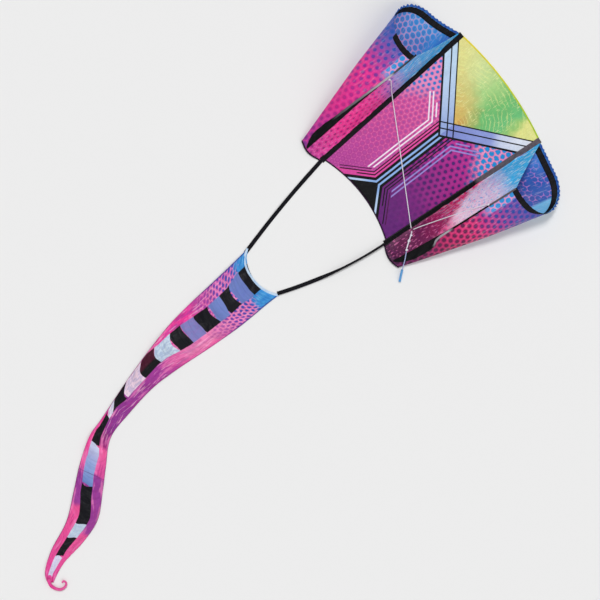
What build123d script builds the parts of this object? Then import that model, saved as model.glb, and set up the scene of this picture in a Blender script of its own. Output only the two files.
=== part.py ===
"""Soft sled kite with two ram-air side tubes, a slipped two-leg bridle and a long streamer tail.

The kite lies on its back, with its bridle side up. X is the span, +Y points to the nose, +Z is up, and
the origin is on the floor under the middle of the whole kite with its tail. Sizes are in millimetres.
"""

from build123d import *
import math
import os

os.makedirs("parts", exist_ok=True)

# Centre sail
NOSE_Y = 1016
FRONT_HALF_SPAN = 205
REAR_HALF_SPAN = 163
CHORD = 574
NOSE_BULGE = 22
TRAILING_HOLLOW = 33
FABRIC = 1.2
BINDING_WIDTH = 3
HEM_WIDTH = 4
TAPE_HALF_WIDTH = 9.5
TAPE_THICKNESS = 1.0

# Side tubes: at each station along the seam, how far back it is, the tube's width, height and ridge
HINGE_GAP = 0.5
TUBE_STATIONS = [
    (-8, 216, 126, 62),
    (152, 184, 121, 62),
    (300, 155, 90, 64),
    (375, 137, 73, 65),
    (450, 119, 55, 63),
    (520, 102, 36, 61),
    (560, 92, 21, 60),
    (580, 87, 12, 59),
]
OUTWARD, INWARD, DOWN = (1, 0), (-1, 0), (0, -1)
SCOOP_POINTS = [(0, 0, 0), (152, 62, 120), (102, 195, 66)]
INLET_HEM_DEPTH = 5.7
BACK_BAND_DEPTH = 12.5
FRONT_BAND_DEPTH = 13
FRONT_BAND_REACH = 150
BAND_THICKNESS = 1.0
REAR_HEM_LENGTH = 12
TUBE_TOP = 140
KEEL_FREE_EDGE = [(182, 67), (255, 69), (310, 74), (375, 80), (450, 84), (510, 88), (545, 83), (576, 64)]
KEEL_GAP = 0.3
KEEL_THICKNESS = 1.0

# Bridle, with heights above the floor
LINE_DIAMETER = 3
KNOT_RADIUS = 4
KEEL_KNOTS = {"left": (264, 58, 96), "right": (252, 60, 104.5)}
LEFT_LEG_ROUTE = [
    (-239.2, -264.8, 93.4),
    (-225, -271, 76),
    (-205, -279, 44),
    (-181, -288, 16),
    (-148, -304, 3.6),
    (136, -460, 3.6),
    (157, -472, 4.6),
    (176, -482, 4.6),
]
RIGHT_LEG_ROUTE = [
    (244.3, -260, 102),
    (229, -312, 68.5),
    (213, -369, 43.5),
    (196, -427, 24),
    (186.5, -461, 12.5),
    (182.6, -479, 7.6),
]
TOW_LOOP_ROUTE = [(184, -486, 7.6), (190.5, -495, 16.5), (199, -511, 24), (212, -532, 33.5)]
TOW_LOOP_DIAMETER = 4
TOW_KNOTS = [(191, -496, 18.5, 4.6), (199.5, -512, 24.5, 5.0), (215.5, -535, 35, 4.6)]
LEADER_ROUTE = [(218.5, -539, 35.5), (234, -554, 33), (249, -570, 23), (260, -582, 13.2)]
LEADER_DIAMETER = 3
SLEEVE_ROUTE = [(260.5, -582.5, 12.7), (273, -596, 6.5), (287, -611, 4.6)]
SLEEVE_DIAMETER = 7.5

# Tail
RIBBON_WIDTH = 12.5
RIBBON_THICKNESS = 1.0
RIBBON_GAP = 0.6
RIBBON_BOWS = {"left": 5, "right": 14}
TAIL_START = 930
MOUTH_HALF_WIDTH = 88
MOUTH_HOLLOW = 32
MOUTH_HEM = 7
TAIL_LEFT_EDGE = [
    (-78, -998),
    (-70, -1076),
    (-60, -1180),
    (-44, -1280),
    (-2, -1435),
    (53, -1600),
    (74, -1665),
    (124, -1742),
    (180, -1810),
    (242, -1888),
    (285, -1981),
    (329, -2040),
]
TAIL_RIGHT_EDGE = [
    (341, -1975),
    (326, -1885),
    (298, -1807),
    (236, -1739),
    (183, -1686),
    (118, -1615),
    (93, -1522),
    (76, -1420),
    (76, -1333),
    (86, -1200),
    (91, -1090),
    (88, -986),
]
TAIL_TIP_LEFT = (364, -2054)
TAIL_TIP_RIGHT = (368, -2036)
TIP_RADIUS = 5
TIP_CURL = [(367, -2046), (394, -2040), (398, -2013)]


def seam_directions(side):
    """Unit vectors back along one side's seam and outward from it; side is -1 on the left, 1 on the right."""
    back = Vector(side * (REAR_HALF_SPAN - FRONT_HALF_SPAN), -CHORD, 0).normalized()
    return back, Vector(-side * back.Y, side * back.X, 0)


def beside_seam(side, back, out, up=0):
    """The point that lies back along a seam from its front end, outward from it and up from the floor."""
    along, outward = seam_directions(side)
    front_end = Vector(side * FRONT_HALF_SPAN, NOSE_Y, 0)
    return front_end + along * back + outward * out + Vector(0, 0, up)


def section_plane(side, back):
    """The upright plane across a tube, with its x outward and its y up."""
    along, outward = seam_directions(side)
    return Plane(beside_seam(side, back, 0), x_dir=outward, z_dir=outward.cross(Vector(0, 0, 1)))


def scoop_plane(side, depth=0):
    """The slanted plane of a tube's inlet, facing back into the tube, or the one a depth behind it."""
    first, second, third = [beside_seam(side, *point) for point in SCOOP_POINTS]
    normal = (second - first).cross(third - first).normalized()
    along, outward = seam_directions(side)
    if normal.dot(along) < 0:
        normal = normal * -1
    return Plane(first + normal * depth, x_dir=outward, z_dir=normal)


def tube_points(station, depth):
    """A tube's section at a station: seam, ridge, wall and back points, a depth under the outer surface."""
    back, width, height, ridge = station
    start = TAPE_HALF_WIDTH + HINGE_GAP
    centre = (start + 0.45 * (width - start), 0.45 * height)
    scale = 1 - 2 * depth / height
    reach = width - ridge
    points = {
        "seam": (start, 0),
        "ridge": (ridge, height),
        "wall_high": (ridge + 0.42 * reach, 0.95 * height),
        "wall_low": (ridge + 0.84 * reach, 0.76 * height),
        "side": (width, 0.52 * height),
        "back_high": (0.975 * width, 0.33 * height),
        "back_low": (0.84 * width, 0.13 * height),
        "floor": (0.55 * width, 0),
    }
    return {
        name: (centre[0] + scale * (x - centre[0]), centre[1] + scale * (y - centre[1]))
        for name, (x, y) in points.items()
    }


def inner_wall_face(outside, inside):
    """The straight wall from the seam up to the ridge."""
    with BuildLine() as outline:
        Polyline(outside["seam"], outside["ridge"], inside["ridge"], inside["seam"], close=True)
    make_face(outline.edges())


def outer_wall_face(outside, inside):
    """The rounded wall from the ridge over to the tube's side."""
    names = ["ridge", "wall_high", "wall_low", "side"]
    with BuildLine() as outline:
        Spline([outside[name] for name in names], tangents=[OUTWARD, DOWN])
        Line(outside["side"], inside["side"])
        Spline([inside[name] for name in names], tangents=[OUTWARD, DOWN])
        Line(inside["ridge"], outside["ridge"])
    make_face(outline.edges())


def back_skin_face(outside, inside):
    """The back, from the tube's side round to the floor and flat in to the seam."""
    names = ["side", "back_high", "back_low", "floor"]
    with BuildLine() as outline:
        Spline([outside[name] for name in names], tangents=[DOWN, INWARD])
        Line(outside["floor"], outside["seam"])
        Line(outside["seam"], inside["seam"])
        Line(inside["seam"], inside["floor"])
        Spline([inside[name] for name in names], tangents=[DOWN, INWARD])
        Line(inside["side"], outside["side"])
    make_face(outline.edges())


def loft_layer(side, wall_face, outside_depth, inside_depth):
    """A layer along one wall of a tube, between two depths under the outer surface, in the open part."""
    sections = []
    for station in TUBE_STATIONS:
        with BuildSketch(section_plane(side, station[0])) as section:
            wall_face(tube_points(station, outside_depth), tube_points(station, inside_depth))
        sections.append(section.sketch)
    loft(sections, ruled=True)


def cut_between(side, first_depth, last_depth):
    """Keeps what lies between two planes that are parallel to a tube's inlet."""
    split(bisect_by=scoop_plane(side, first_depth), keep=Keep.TOP)
    split(bisect_by=scoop_plane(side, last_depth), keep=Keep.BOTTOM)


def cord(route, diameter):
    """A round cord through a route, with each corner an arc as large as its two runs allow."""
    points = [Vector(*point) for point in route]
    radii = []
    for before, corner, after in zip(points, points[1:], points[2:]):
        turn = (corner - before).get_angle(after - corner)
        shorter = min((corner - before).length, (after - corner).length)
        radii.append(0.45 * shorter / math.tan(math.radians(turn / 2)))
    with BuildLine():
        path = FilletPolyline(*points, radius=radii)
    with BuildSketch(Plane(path @ 0, z_dir=path % 0)) as section:
        Circle(diameter / 2)
    sweep(section.sketch, path=path)
    return path, radii


def finish(builder, name):
    """Labels a piece and writes its file."""
    builder.part.label = name
    export_step(builder.part, f"parts/{name}.step")


def from_nose(route):
    """A route whose Y is counted from the seams' front ends, in the kite's own frame."""
    return [(x, y + NOSE_Y, *rest) for x, y, *rest in route]


def report_cord(name, built, path, radii, diameter):
    """Prints a cord's length and arcs, and compares its volume with its section times its length."""
    expected = math.pi * diameter**2 / 4 * path.length
    arcs = ", ".join(f"{radius:.0f}" for radius in radii)
    ratio = built.part.volume / expected
    print(f"{name}: {path.length:.0f} mm long, arcs of {arcs} mm, volume ratio {ratio:.4f}")


# Centre sail, its two edges and its seam tapes
nose_left = (-FRONT_HALF_SPAN - TAPE_HALF_WIDTH, NOSE_Y)
nose_middle = (0, NOSE_Y + NOSE_BULGE)
nose_right = (FRONT_HALF_SPAN + TAPE_HALF_WIDTH, NOSE_Y)
rear_right = (REAR_HALF_SPAN + TAPE_HALF_WIDTH, NOSE_Y - CHORD)
rear_middle = (0, NOSE_Y - CHORD + TRAILING_HOLLOW)
rear_left = (-REAR_HALF_SPAN - TAPE_HALF_WIDTH, NOSE_Y - CHORD)


def edge_strip(left, middle, right, width):
    """A strip of even width behind an edge that curves from left to right through its middle."""
    low_left, low_middle, low_right = [(x, y - width) for x, y in (left, middle, right)]
    with BuildLine() as outline:
        ThreePointArc(left, middle, right)
        Line(right, low_right)
        ThreePointArc(low_right, low_middle, low_left)
        Line(low_left, left)
    make_face(outline.edges())


with BuildPart() as centre_sail:
    with BuildSketch():
        with BuildLine():
            ThreePointArc(
                (nose_left[0], nose_left[1] - BINDING_WIDTH),
                (0, nose_middle[1] - BINDING_WIDTH),
                (nose_right[0], nose_right[1] - BINDING_WIDTH),
            )
            Line((nose_right[0], nose_right[1] - BINDING_WIDTH), (rear_right[0], rear_right[1] + HEM_WIDTH))
            ThreePointArc(
                (rear_right[0], rear_right[1] + HEM_WIDTH),
                (0, rear_middle[1] + HEM_WIDTH),
                (rear_left[0], rear_left[1] + HEM_WIDTH),
            )
            Line((rear_left[0], rear_left[1] + HEM_WIDTH), (nose_left[0], nose_left[1] - BINDING_WIDTH))
        make_face()
    extrude(amount=FABRIC)
finish(centre_sail, "centre_sail")

with BuildPart() as leading_edge_binding:
    with BuildSketch():
        edge_strip(nose_left, nose_middle, nose_right, BINDING_WIDTH)
    extrude(amount=FABRIC)
finish(leading_edge_binding, "leading_edge_binding")

with BuildPart() as trailing_edge_hem:
    with BuildSketch():
        edge_strip(
            (rear_left[0], rear_left[1] + HEM_WIDTH),
            (0, rear_middle[1] + HEM_WIDTH),
            (rear_right[0], rear_right[1] + HEM_WIDTH),
            HEM_WIDTH,
        )
    extrude(amount=FABRIC)
finish(trailing_edge_hem, "trailing_edge_hem")

for side_name, side in (("left", -1), ("right", 1)):
    with BuildPart() as seam_tape:
        with BuildSketch(Plane.XY.offset(FABRIC)):
            with BuildLine():
                Polyline(
                    (side * (FRONT_HALF_SPAN - TAPE_HALF_WIDTH), NOSE_Y),
                    (side * (FRONT_HALF_SPAN + TAPE_HALF_WIDTH), NOSE_Y),
                    (side * (REAR_HALF_SPAN + TAPE_HALF_WIDTH), NOSE_Y - CHORD),
                    (side * (REAR_HALF_SPAN - TAPE_HALF_WIDTH), NOSE_Y - CHORD),
                    close=True,
                )
            make_face()
        extrude(amount=TAPE_THICKNESS)
    finish(seam_tape, f"{side_name}_seam_tape")

    # Tube walls, each one skin of the inflated tube, cut off by the slanted inlet
    for wall_name, wall_face in (("inner_wall", inner_wall_face), ("outer_wall", outer_wall_face)):
        with BuildPart() as wall:
            loft_layer(side, wall_face, 0, FABRIC)
            split(bisect_by=scoop_plane(side), keep=Keep.TOP)
        finish(wall, f"{side_name}_tube_{wall_name}")

    with BuildPart() as back_skin:
        loft_layer(side, back_skin_face, 0, FABRIC)
        split(bisect_by=scoop_plane(side, INLET_HEM_DEPTH), keep=Keep.TOP)
    finish(back_skin, f"{side_name}_tube_back_skin")

    # Inlet: the gathered hem of the back skin, the tape inside it and the tape on the front lip
    with BuildPart() as inlet_hem:
        loft_layer(side, back_skin_face, 0, FABRIC)
        cut_between(side, 0, INLET_HEM_DEPTH)
    finish(inlet_hem, f"{side_name}_inlet_hem")

    with BuildPart() as back_band:
        loft_layer(side, back_skin_face, FABRIC, FABRIC + BAND_THICKNESS)
        cut_between(side, INLET_HEM_DEPTH, INLET_HEM_DEPTH + BACK_BAND_DEPTH)
    finish(back_band, f"{side_name}_inlet_back_band")

    with BuildPart() as front_band:
        loft_layer(side, outer_wall_face, -BAND_THICKNESS, 0)
        cut_between(side, 0, FRONT_BAND_DEPTH)
        along, outward = seam_directions(side)
        split(bisect_by=Plane(beside_seam(side, 0, FRONT_BAND_REACH), z_dir=outward), keep=Keep.BOTTOM)
    finish(front_band, f"{side_name}_inlet_front_band")

    # Keel: a flap that lies outboard of the ridge
    with BuildPart() as keel_flap:
        loft_layer(side, outer_wall_face, -KEEL_GAP - KEEL_THICKNESS, -KEEL_GAP)
        with BuildSketch():
            free_edge = [beside_seam(side, back, out) for back, out in KEEL_FREE_EDGE]
            front_inboard = beside_seam(side, KEEL_FREE_EDGE[0][0], TAPE_HALF_WIDTH)
            rear_inboard = beside_seam(side, KEEL_FREE_EDGE[-1][0], TAPE_HALF_WIDTH)
            with BuildLine():
                Spline(free_edge)
                Polyline(free_edge[-1], rear_inboard, front_inboard, free_edge[0])
            make_face()
        extrude(amount=TUBE_TOP, mode=Mode.INTERSECT)
    finish(keel_flap, f"{side_name}_keel_flap")

    with BuildPart() as rear_hem:
        last = tube_points(TUBE_STATIONS[-1], 0)
        wall_points = [last[name] for name in ("ridge", "wall_high", "wall_low", "side")]
        back_points = [last[name] for name in ("side", "back_high", "back_low", "floor")]
        with BuildSketch(section_plane(side, TUBE_STATIONS[-1][0])):
            with BuildLine():
                Line(last["seam"], last["ridge"])
                Spline(wall_points, tangents=[OUTWARD, DOWN])
                Spline(back_points, tangents=[DOWN, INWARD])
                Line(last["floor"], last["seam"])
            make_face()
        extrude(amount=side * REAR_HEM_LENGTH)
    finish(rear_hem, f"{side_name}_rear_hem")

    with BuildPart() as keel_knot:
        with Locations(beside_seam(side, *KEEL_KNOTS[side_name])):
            Sphere(KNOT_RADIUS)
    finish(keel_knot, f"{side_name}_keel_knot")

# Bridle: two legs from the keels to the tow loop, which lies beside the right seam, and the leader
for cord_name, route, diameter in (
    ("bridle_left_leg", LEFT_LEG_ROUTE, LINE_DIAMETER),
    ("bridle_right_leg", RIGHT_LEG_ROUTE, LINE_DIAMETER),
    ("tow_loop", TOW_LOOP_ROUTE, TOW_LOOP_DIAMETER),
    ("leader_line", LEADER_ROUTE, LEADER_DIAMETER),
    ("leader_sleeve", SLEEVE_ROUTE, SLEEVE_DIAMETER),
):
    with BuildPart() as line:
        path, radii = cord(from_nose(route), diameter)
    report_cord(cord_name, line, path, radii, diameter)
    finish(line, cord_name)

with BuildPart() as tow_knots:
    for x, y, z, radius in from_nose(TOW_KNOTS):
        with Locations((x, y, z)):
            Sphere(radius)
finish(tow_knots, "tow_knots")

# Tail: two ribbons, then the flat streamer with its mouth hem and rolled tip
for side_name, side in (("left", -1), ("right", 1)):
    ribbon_front = Vector(side * REAR_HALF_SPAN, NOSE_Y - CHORD - 2 * RIBBON_GAP)
    ribbon_rear = Vector(side * (MOUTH_HALF_WIDTH - RIBBON_WIDTH / 2), NOSE_Y - TAIL_START)
    half_way = (ribbon_front + ribbon_rear) / 2 + Vector(side * RIBBON_BOWS[side_name], 0)
    half_width = Vector(RIBBON_WIDTH / 2, 0)
    with BuildPart() as ribbon:
        with BuildSketch():
            with BuildLine():
                ThreePointArc(ribbon_front - half_width, half_way - half_width, ribbon_rear - half_width)
                Line(ribbon_rear - half_width, ribbon_rear + half_width)
                ThreePointArc(ribbon_rear + half_width, half_way + half_width, ribbon_front + half_width)
                Line(ribbon_front + half_width, ribbon_front - half_width)
            make_face()
        extrude(amount=RIBBON_THICKNESS)
    finish(ribbon, f"{side_name}_tail_ribbon")

mouth_y = NOSE_Y - TAIL_START - 2 * RIBBON_GAP
mouth_left = (-MOUTH_HALF_WIDTH, mouth_y)
mouth_middle = (0, mouth_y - MOUTH_HOLLOW)
mouth_right = (MOUTH_HALF_WIDTH, mouth_y)

with BuildPart() as tail_mouth_hem:
    with BuildSketch():
        edge_strip(mouth_left, mouth_middle, mouth_right, MOUTH_HEM)
    extrude(amount=FABRIC)
finish(tail_mouth_hem, "tail_mouth_hem")

with BuildPart() as tail_streamer:
    with BuildSketch():
        start_left = (mouth_left[0], mouth_left[1] - MOUTH_HEM)
        start_right = (mouth_right[0], mouth_right[1] - MOUTH_HEM)
        tip_left, tip_right = from_nose([TAIL_TIP_LEFT, TAIL_TIP_RIGHT])
        with BuildLine():
            ThreePointArc(start_right, (0, mouth_middle[1] - MOUTH_HEM), start_left)
            Spline([start_left, *from_nose(TAIL_LEFT_EDGE), tip_left])
            Line(tip_left, tip_right)
            Spline([tip_right, *from_nose(TAIL_RIGHT_EDGE), start_right])
        make_face()
    extrude(amount=FABRIC)
finish(tail_streamer, "tail_streamer")

with BuildPart() as tail_tip:
    curl = from_nose(TIP_CURL)
    with BuildLine():
        curl_path = ThreePointArc(*[(x, y, TIP_RADIUS) for x, y in curl])
    with BuildSketch(Plane(curl_path @ 0, z_dir=curl_path % 0)):
        Circle(TIP_RADIUS)
    sweep(path=curl_path)
finish(tail_tip, "tail_tip")
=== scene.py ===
"""Looks of the sled kite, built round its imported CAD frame: printed ripstop, sewn tapes, cords and tail."""

import bpy
import math
from mathutils import Matrix, Vector, noise
from mathutils.bvhtree import BVHTree


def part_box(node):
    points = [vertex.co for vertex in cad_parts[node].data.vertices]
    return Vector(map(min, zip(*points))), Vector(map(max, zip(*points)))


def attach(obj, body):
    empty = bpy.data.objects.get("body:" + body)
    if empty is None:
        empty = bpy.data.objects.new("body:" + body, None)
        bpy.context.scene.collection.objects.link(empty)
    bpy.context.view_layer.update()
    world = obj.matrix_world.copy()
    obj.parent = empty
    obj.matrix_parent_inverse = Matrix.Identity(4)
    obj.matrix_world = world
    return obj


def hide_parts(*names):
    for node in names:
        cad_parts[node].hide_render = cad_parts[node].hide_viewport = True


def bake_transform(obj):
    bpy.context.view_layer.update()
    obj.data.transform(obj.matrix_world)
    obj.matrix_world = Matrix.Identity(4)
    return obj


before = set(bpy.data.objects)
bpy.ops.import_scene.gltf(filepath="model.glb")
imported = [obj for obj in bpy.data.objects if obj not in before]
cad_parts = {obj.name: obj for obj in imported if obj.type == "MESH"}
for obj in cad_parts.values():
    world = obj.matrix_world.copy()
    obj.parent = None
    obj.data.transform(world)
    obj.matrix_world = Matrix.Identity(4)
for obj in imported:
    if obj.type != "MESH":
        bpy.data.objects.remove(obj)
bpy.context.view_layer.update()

MM = 0.001
UP = Vector((0, 0, 1))
SIDES = (("left", -1), ("right", 1))


# Sizes, in millimetres, read from the frame where it holds them ------------------------------------------


def box(node):
    """A CAD node's lowest and highest corners."""
    return [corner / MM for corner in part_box(node)]


TAPE_HALF_WIDTH = 9.5
tape_low, tape_high = box("right_seam_tape")
NOSE_Y = tape_high.y
CHORD = tape_high.y - tape_low.y
FRONT_HALF_SPAN = tape_high.x - TAPE_HALF_WIDTH
REAR_HALF_SPAN = tape_low.x + TAPE_HALF_WIDTH
NOSE_BULGE = box("leading_edge_binding")[1].y - NOSE_Y
HEM_LOW, HEM_HIGH = box("trailing_edge_hem")
BINDING_WIDTH = 3
HEM_WIDTH = 4
TRAILING_HOLLOW = HEM_HIGH.y - HEM_LOW.y - HEM_WIDTH

# Tubes: how far back a station is along the seam, the tube's width, height and ridge, and its inlet's slant
TUBE_STATIONS = [
    (-8, 216, 126, 62), (152, 184, 121, 62), (300, 155, 90, 64), (375, 137, 73, 65), (450, 119, 55, 63),
    (520, 102, 36, 61), (560, 92, 21, 60), (580, 87, 12, 59),
]
TUBE_END = 580
INLET_PER_OUT = 0.11
INLET_PER_UP = 1.21
# Each keel flap's free edge: how far back along the seam, and how far out from it
KEEL_FREE_EDGES = {
    "left": [
        (156, 65.5), (205, 66), (255, 68), (310, 71), (375, 76), (450, 80), (510, 84), (548, 81), (586, 64),
    ],
    "right": [
        (156, 66), (205, 66.5), (255, 67), (330, 68.5), (400, 70), (440, 74), (462, 87), (510, 89), (550, 83),
        (586, 63),
    ],
}
# The left inlet's outer part lies further back than the right one's, and the rear ends are rounded
LEFT_SLUMP = 17
REAR_ROUNDING = 10
# Where the walls leave the tape, and the strip beside the tape, at the seam's middle, that turns at the fold
SEAM_OUT = 10
SEAM_MIDDLE = 287
TURN_WIDTH = 26

# Bridle, with Y counted from the seams' front ends
LINE_DIAMETER = 3
LEFT_LEG_ROUTE = [
    (-239.2, -264.8, 93.4), (-225, -271, 76), (-205, -279, 44), (-181, -288, 16), (-148, -304, 3.6),
    (136, -460, 3.6), (157, -472, 4.6), (176, -482, 4.6),
]
RIGHT_LEG_ROUTE = [
    (244.3, -260, 102), (229, -312, 68.5), (213, -369, 43.5), (196, -427, 24), (186.5, -461, 12.5),
    (182.6, -479, 7.6),
]
TOW_LOOP_ROUTE = [(184, -486, 7.6), (190.5, -495, 16.5), (199, -511, 24), (212, -532, 33.5)]
TOW_LOOP_DIAMETER = 4
TOW_KNOTS = [(191, -496, 18.5, 4.6), (199.5, -512, 24.5, 5.0), (215.5, -535, 35, 4.6)]
LEADER_ROUTE = [(218.5, -539, 35.5), (234, -554, 33), (249, -570, 23), (260, -582, 13.2)]
LEADER_DIAMETER = 3
SLEEVE_ROUTE = [(260.5, -582.5, 12.7), (273, -596, 6.5), (287, -611, 4.6)]
SLEEVE_DIAMETER = 7.5
KEEL_KNOTS = {"left": (264, 58, 96), "right": (252, 60, 104.5)}
KEEL_KNOT_RADIUS = 4

# Tail
RIBBON_WIDTH = 12.5
RIBBON_BOWS = {"left": 5, "right": 14}
MOUTH_LOW, MOUTH_HIGH = box("tail_mouth_hem")
MOUTH_HALF_WIDTH = MOUTH_HIGH.x
MOUTH_Y = MOUTH_HIGH.y
MOUTH_HEM = 7
MOUTH_HOLLOW = MOUTH_HIGH.y - MOUTH_LOW.y - MOUTH_HEM
TAIL_LEFT_EDGE = [
    (-78, -998), (-70, -1076), (-60, -1180), (-44, -1280), (-2, -1435), (53, -1600), (74, -1665),
    (124, -1742), (180, -1810), (242, -1888), (285, -1981), (329, -2040), (364, -2054),
]
TAIL_RIGHT_EDGE = [
    (88, -986), (91, -1090), (86, -1200), (76, -1333), (76, -1420), (93, -1522), (118, -1615), (183, -1686),
    (236, -1739), (298, -1807), (326, -1885), (341, -1975), (368, -2036),
]
TIP_CURL = [(350, -2043), (372, -2050), (398, -2038), (403, -2019), (395, -2008), (385, -2011), (387, -2018)]
TIP_RADIUS = 4.4


# Materials ----------------------------------------------------------------------------------------------

# How far the printed dots' rows are turned, in degrees
PRINT_TURN = 7


def rgb(code):
    """A colour of six hex digits, as linear light."""
    values = [int(code[i : i + 2], 16) / 255 for i in (0, 2, 4)]
    return [v / 12.92 if v <= 0.04045 else ((v + 0.055) / 1.055) ** 2.4 for v in values] + [1]


class Field:
    """A number worked out by a material's nodes, which takes part in sums as plain numbers do."""

    def __init__(self, tree, socket):
        self.tree = tree
        self.socket = socket

    def work(self, operation, *others, clamp=False):
        node = self.tree.nodes.new("ShaderNodeMath")
        node.operation = operation
        node.use_clamp = clamp
        for slot, value in zip(node.inputs, (self, *others)):
            if isinstance(value, Field):
                self.tree.links.new(value.socket, slot)
            else:
                slot.default_value = value
        return Field(self.tree, node.outputs[0])

    def __add__(self, other):
        return self.work("ADD", other)

    __radd__ = __add__

    def __sub__(self, other):
        return self.work("SUBTRACT", other)

    def __mul__(self, other):
        return self.work("MULTIPLY", other)

    __rmul__ = __mul__

    def __truediv__(self, other):
        return self.work("DIVIDE", other)

    def __mod__(self, other):
        return self.work("FLOORED_MODULO", other)

    def __neg__(self):
        return self * -1

    def __rsub__(self, other):
        return -self + other

    def __abs__(self):
        return self.work("ABSOLUTE")

    def less_of(self, other):
        return self.work("MINIMUM", other)

    def more_of(self, other):
        return self.work("MAXIMUM", other)

    def sine(self):
        return self.work("SINE")

    def root(self):
        return self.work("SQRT")

    def clamped(self):
        return self.work("ADD", 0, clamp=True)

    def above(self, edge, soft=0.6):
        """1 above an edge and 0 below it, over a short ramp."""
        return ((self - edge) / soft + 0.5).clamped()

    def below(self, edge, soft=0.6):
        return ((edge - self) / soft + 0.5).clamped()

    def between(self, low, high, soft=0.6):
        return self.above(low, soft) * self.below(high, soft)


class Fabric:
    """A material whose colour is painted in layers over its print coordinates, in millimetres."""

    def __init__(self, name, roughness=0.42, sheen=0.05, gloss=0.25):
        self.material = bpy.data.materials.new(name)
        self.material.use_nodes = True
        self.tree = self.material.node_tree
        self.shader = self.tree.nodes["Principled BSDF"]
        self.shader.inputs["Roughness"].default_value = roughness
        self.shader.inputs["Sheen Weight"].default_value = sheen
        self.shader.inputs["Sheen Roughness"].default_value = 0.4
        self.shader.inputs["Specular IOR Level"].default_value = gloss
        self.roughness = roughness
        self.x, self.y = self.coordinates("print")
        self.colour = rgb("ffffff")

    def coordinates(self, name):
        """Both numbers of a piece's print coordinates, in millimetres, or of its place, in shares."""
        place = self.tree.nodes.new("ShaderNodeUVMap")
        place.uv_map = name
        apart = self.tree.nodes.new("ShaderNodeSeparateXYZ")
        self.tree.links.new(place.outputs[0], apart.inputs[0])
        return Field(self.tree, apart.outputs[0]), Field(self.tree, apart.outputs[1])

    def join(self, *parts):
        """A vector of three numbers."""
        node = self.tree.nodes.new("ShaderNodeCombineXYZ")
        for slot, value in zip(node.inputs, parts):
            if isinstance(value, Field):
                self.tree.links.new(value.socket, slot)
            else:
                slot.default_value = value
        return node.outputs[0]

    def noise(self, size, stretch=1, detail=3, seed=0):
        """Smooth noise about 0.5, with lumps of a size across and stretch times as long along."""
        node = self.tree.nodes.new("ShaderNodeTexNoise")
        node.inputs["Scale"].default_value = 1
        node.inputs["Detail"].default_value = detail
        place = self.join(self.x / size, self.y / (size * stretch), seed)
        self.tree.links.new(place, node.inputs["Vector"])
        return Field(self.tree, node.outputs["Fac"])

    def put(self, value, slot):
        """Sets an input to a colour, or links it to one that nodes work out."""
        if isinstance(value, list):
            slot.default_value = value
        else:
            self.tree.links.new(value, slot)

    def mixed(self, share, first, second, way="MIX"):
        node = self.tree.nodes.new("ShaderNodeMix")
        node.data_type = "RGBA"
        node.blend_type = way
        if isinstance(share, Field):
            self.tree.links.new(share.socket, node.inputs[0])
        else:
            node.inputs[0].default_value = share
        self.put(first, node.inputs[6])
        self.put(second, node.inputs[7])
        return node.outputs[2]

    def ramp(self, field, stops):
        """Colours that run into each other as a number goes from 0 to 1, from text of places and colours."""
        stops = [stop.split() for stop in stops.split(",")]
        node = self.tree.nodes.new("ShaderNodeValToRGB")
        self.tree.links.new(field.socket, node.inputs[0])
        elements = node.color_ramp.elements
        for spare in range(len(stops) - 2):
            elements.new(0.5)
        for element, (position, code) in zip(elements, stops):
            element.position = float(position)
            element.color = rgb(code)
        return node.outputs[0]

    def ramp_share(self, field, *stops):
        """A number that follows straight lines between stops as another goes from 0 to 1."""
        node = self.tree.nodes.new("ShaderNodeFloatCurve")
        self.tree.links.new(field.socket, node.inputs["Value"])
        curve = node.mapping.curves[0]
        for (position, value), point in zip((stops[0], stops[-1]), (curve.points[0], curve.points[-1])):
            point.location = (position, value)
        for position, value in stops[1:-1]:
            curve.points.new(position, value)
        for point in curve.points:
            point.handle_type = "VECTOR"
        node.mapping.update()
        return Field(self.tree, node.outputs[0])

    def paint(self, mask, colour):
        """Lays a colour over what is there, where the mask is 1."""
        self.colour = self.mixed(mask, self.colour, rgb(colour) if isinstance(colour, str) else colour)

    def honeycomb(self, x, y, pitch):
        """How far a point is from the nearest centre of a honeycomb, in pitches."""
        tall = pitch * math.sqrt(3)
        distances = []
        for shift in (0, 0.5):
            a = (x + shift * pitch) % pitch - pitch / 2
            b = (y + shift * tall) % tall - tall / 2
            distances.append((a * a + b * b).root())
        return distances[0].less_of(distances[1]) / pitch

    def turned(self, x, y, degrees):
        """Coordinates turned by an angle."""
        angle = math.radians(degrees)
        return x * math.cos(angle) + y * math.sin(angle), y * math.cos(angle) - x * math.sin(angle)

    def wander(self):
        """How far the rows of dots stray from straight lines."""
        return self.noise(90, seed=4) * 14

    def dots(self, pitch, radius, dot, net, share=1, net_width=0.47):
        """Round dots in a net of lighter lines."""
        x, y = self.turned(self.x, self.y, PRINT_TURN)
        away = self.honeycomb(x + self.wander(), y, pitch)
        self.paint(away.above(net_width, 0.07) * share, net)
        self.paint((radius - away).above(0, 0.08) * share, dot)

    def relief(self, height, distance, strength=1.0):
        """Raises the surface by a height."""
        bump = self.tree.nodes.new("ShaderNodeBump")
        bump.inputs["Distance"].default_value = distance
        bump.inputs["Strength"].default_value = strength
        self.tree.links.new(height.socket, bump.inputs["Height"])
        self.tree.links.new(bump.outputs[0], self.shader.inputs["Normal"])

    def done(self, roughness):
        """The material, with its colour and roughness linked to the shader."""
        self.tree.links.new(roughness.socket, self.shader.inputs["Roughness"])
        self.put(self.colour, self.shader.inputs["Base Color"])
        return self.material

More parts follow.
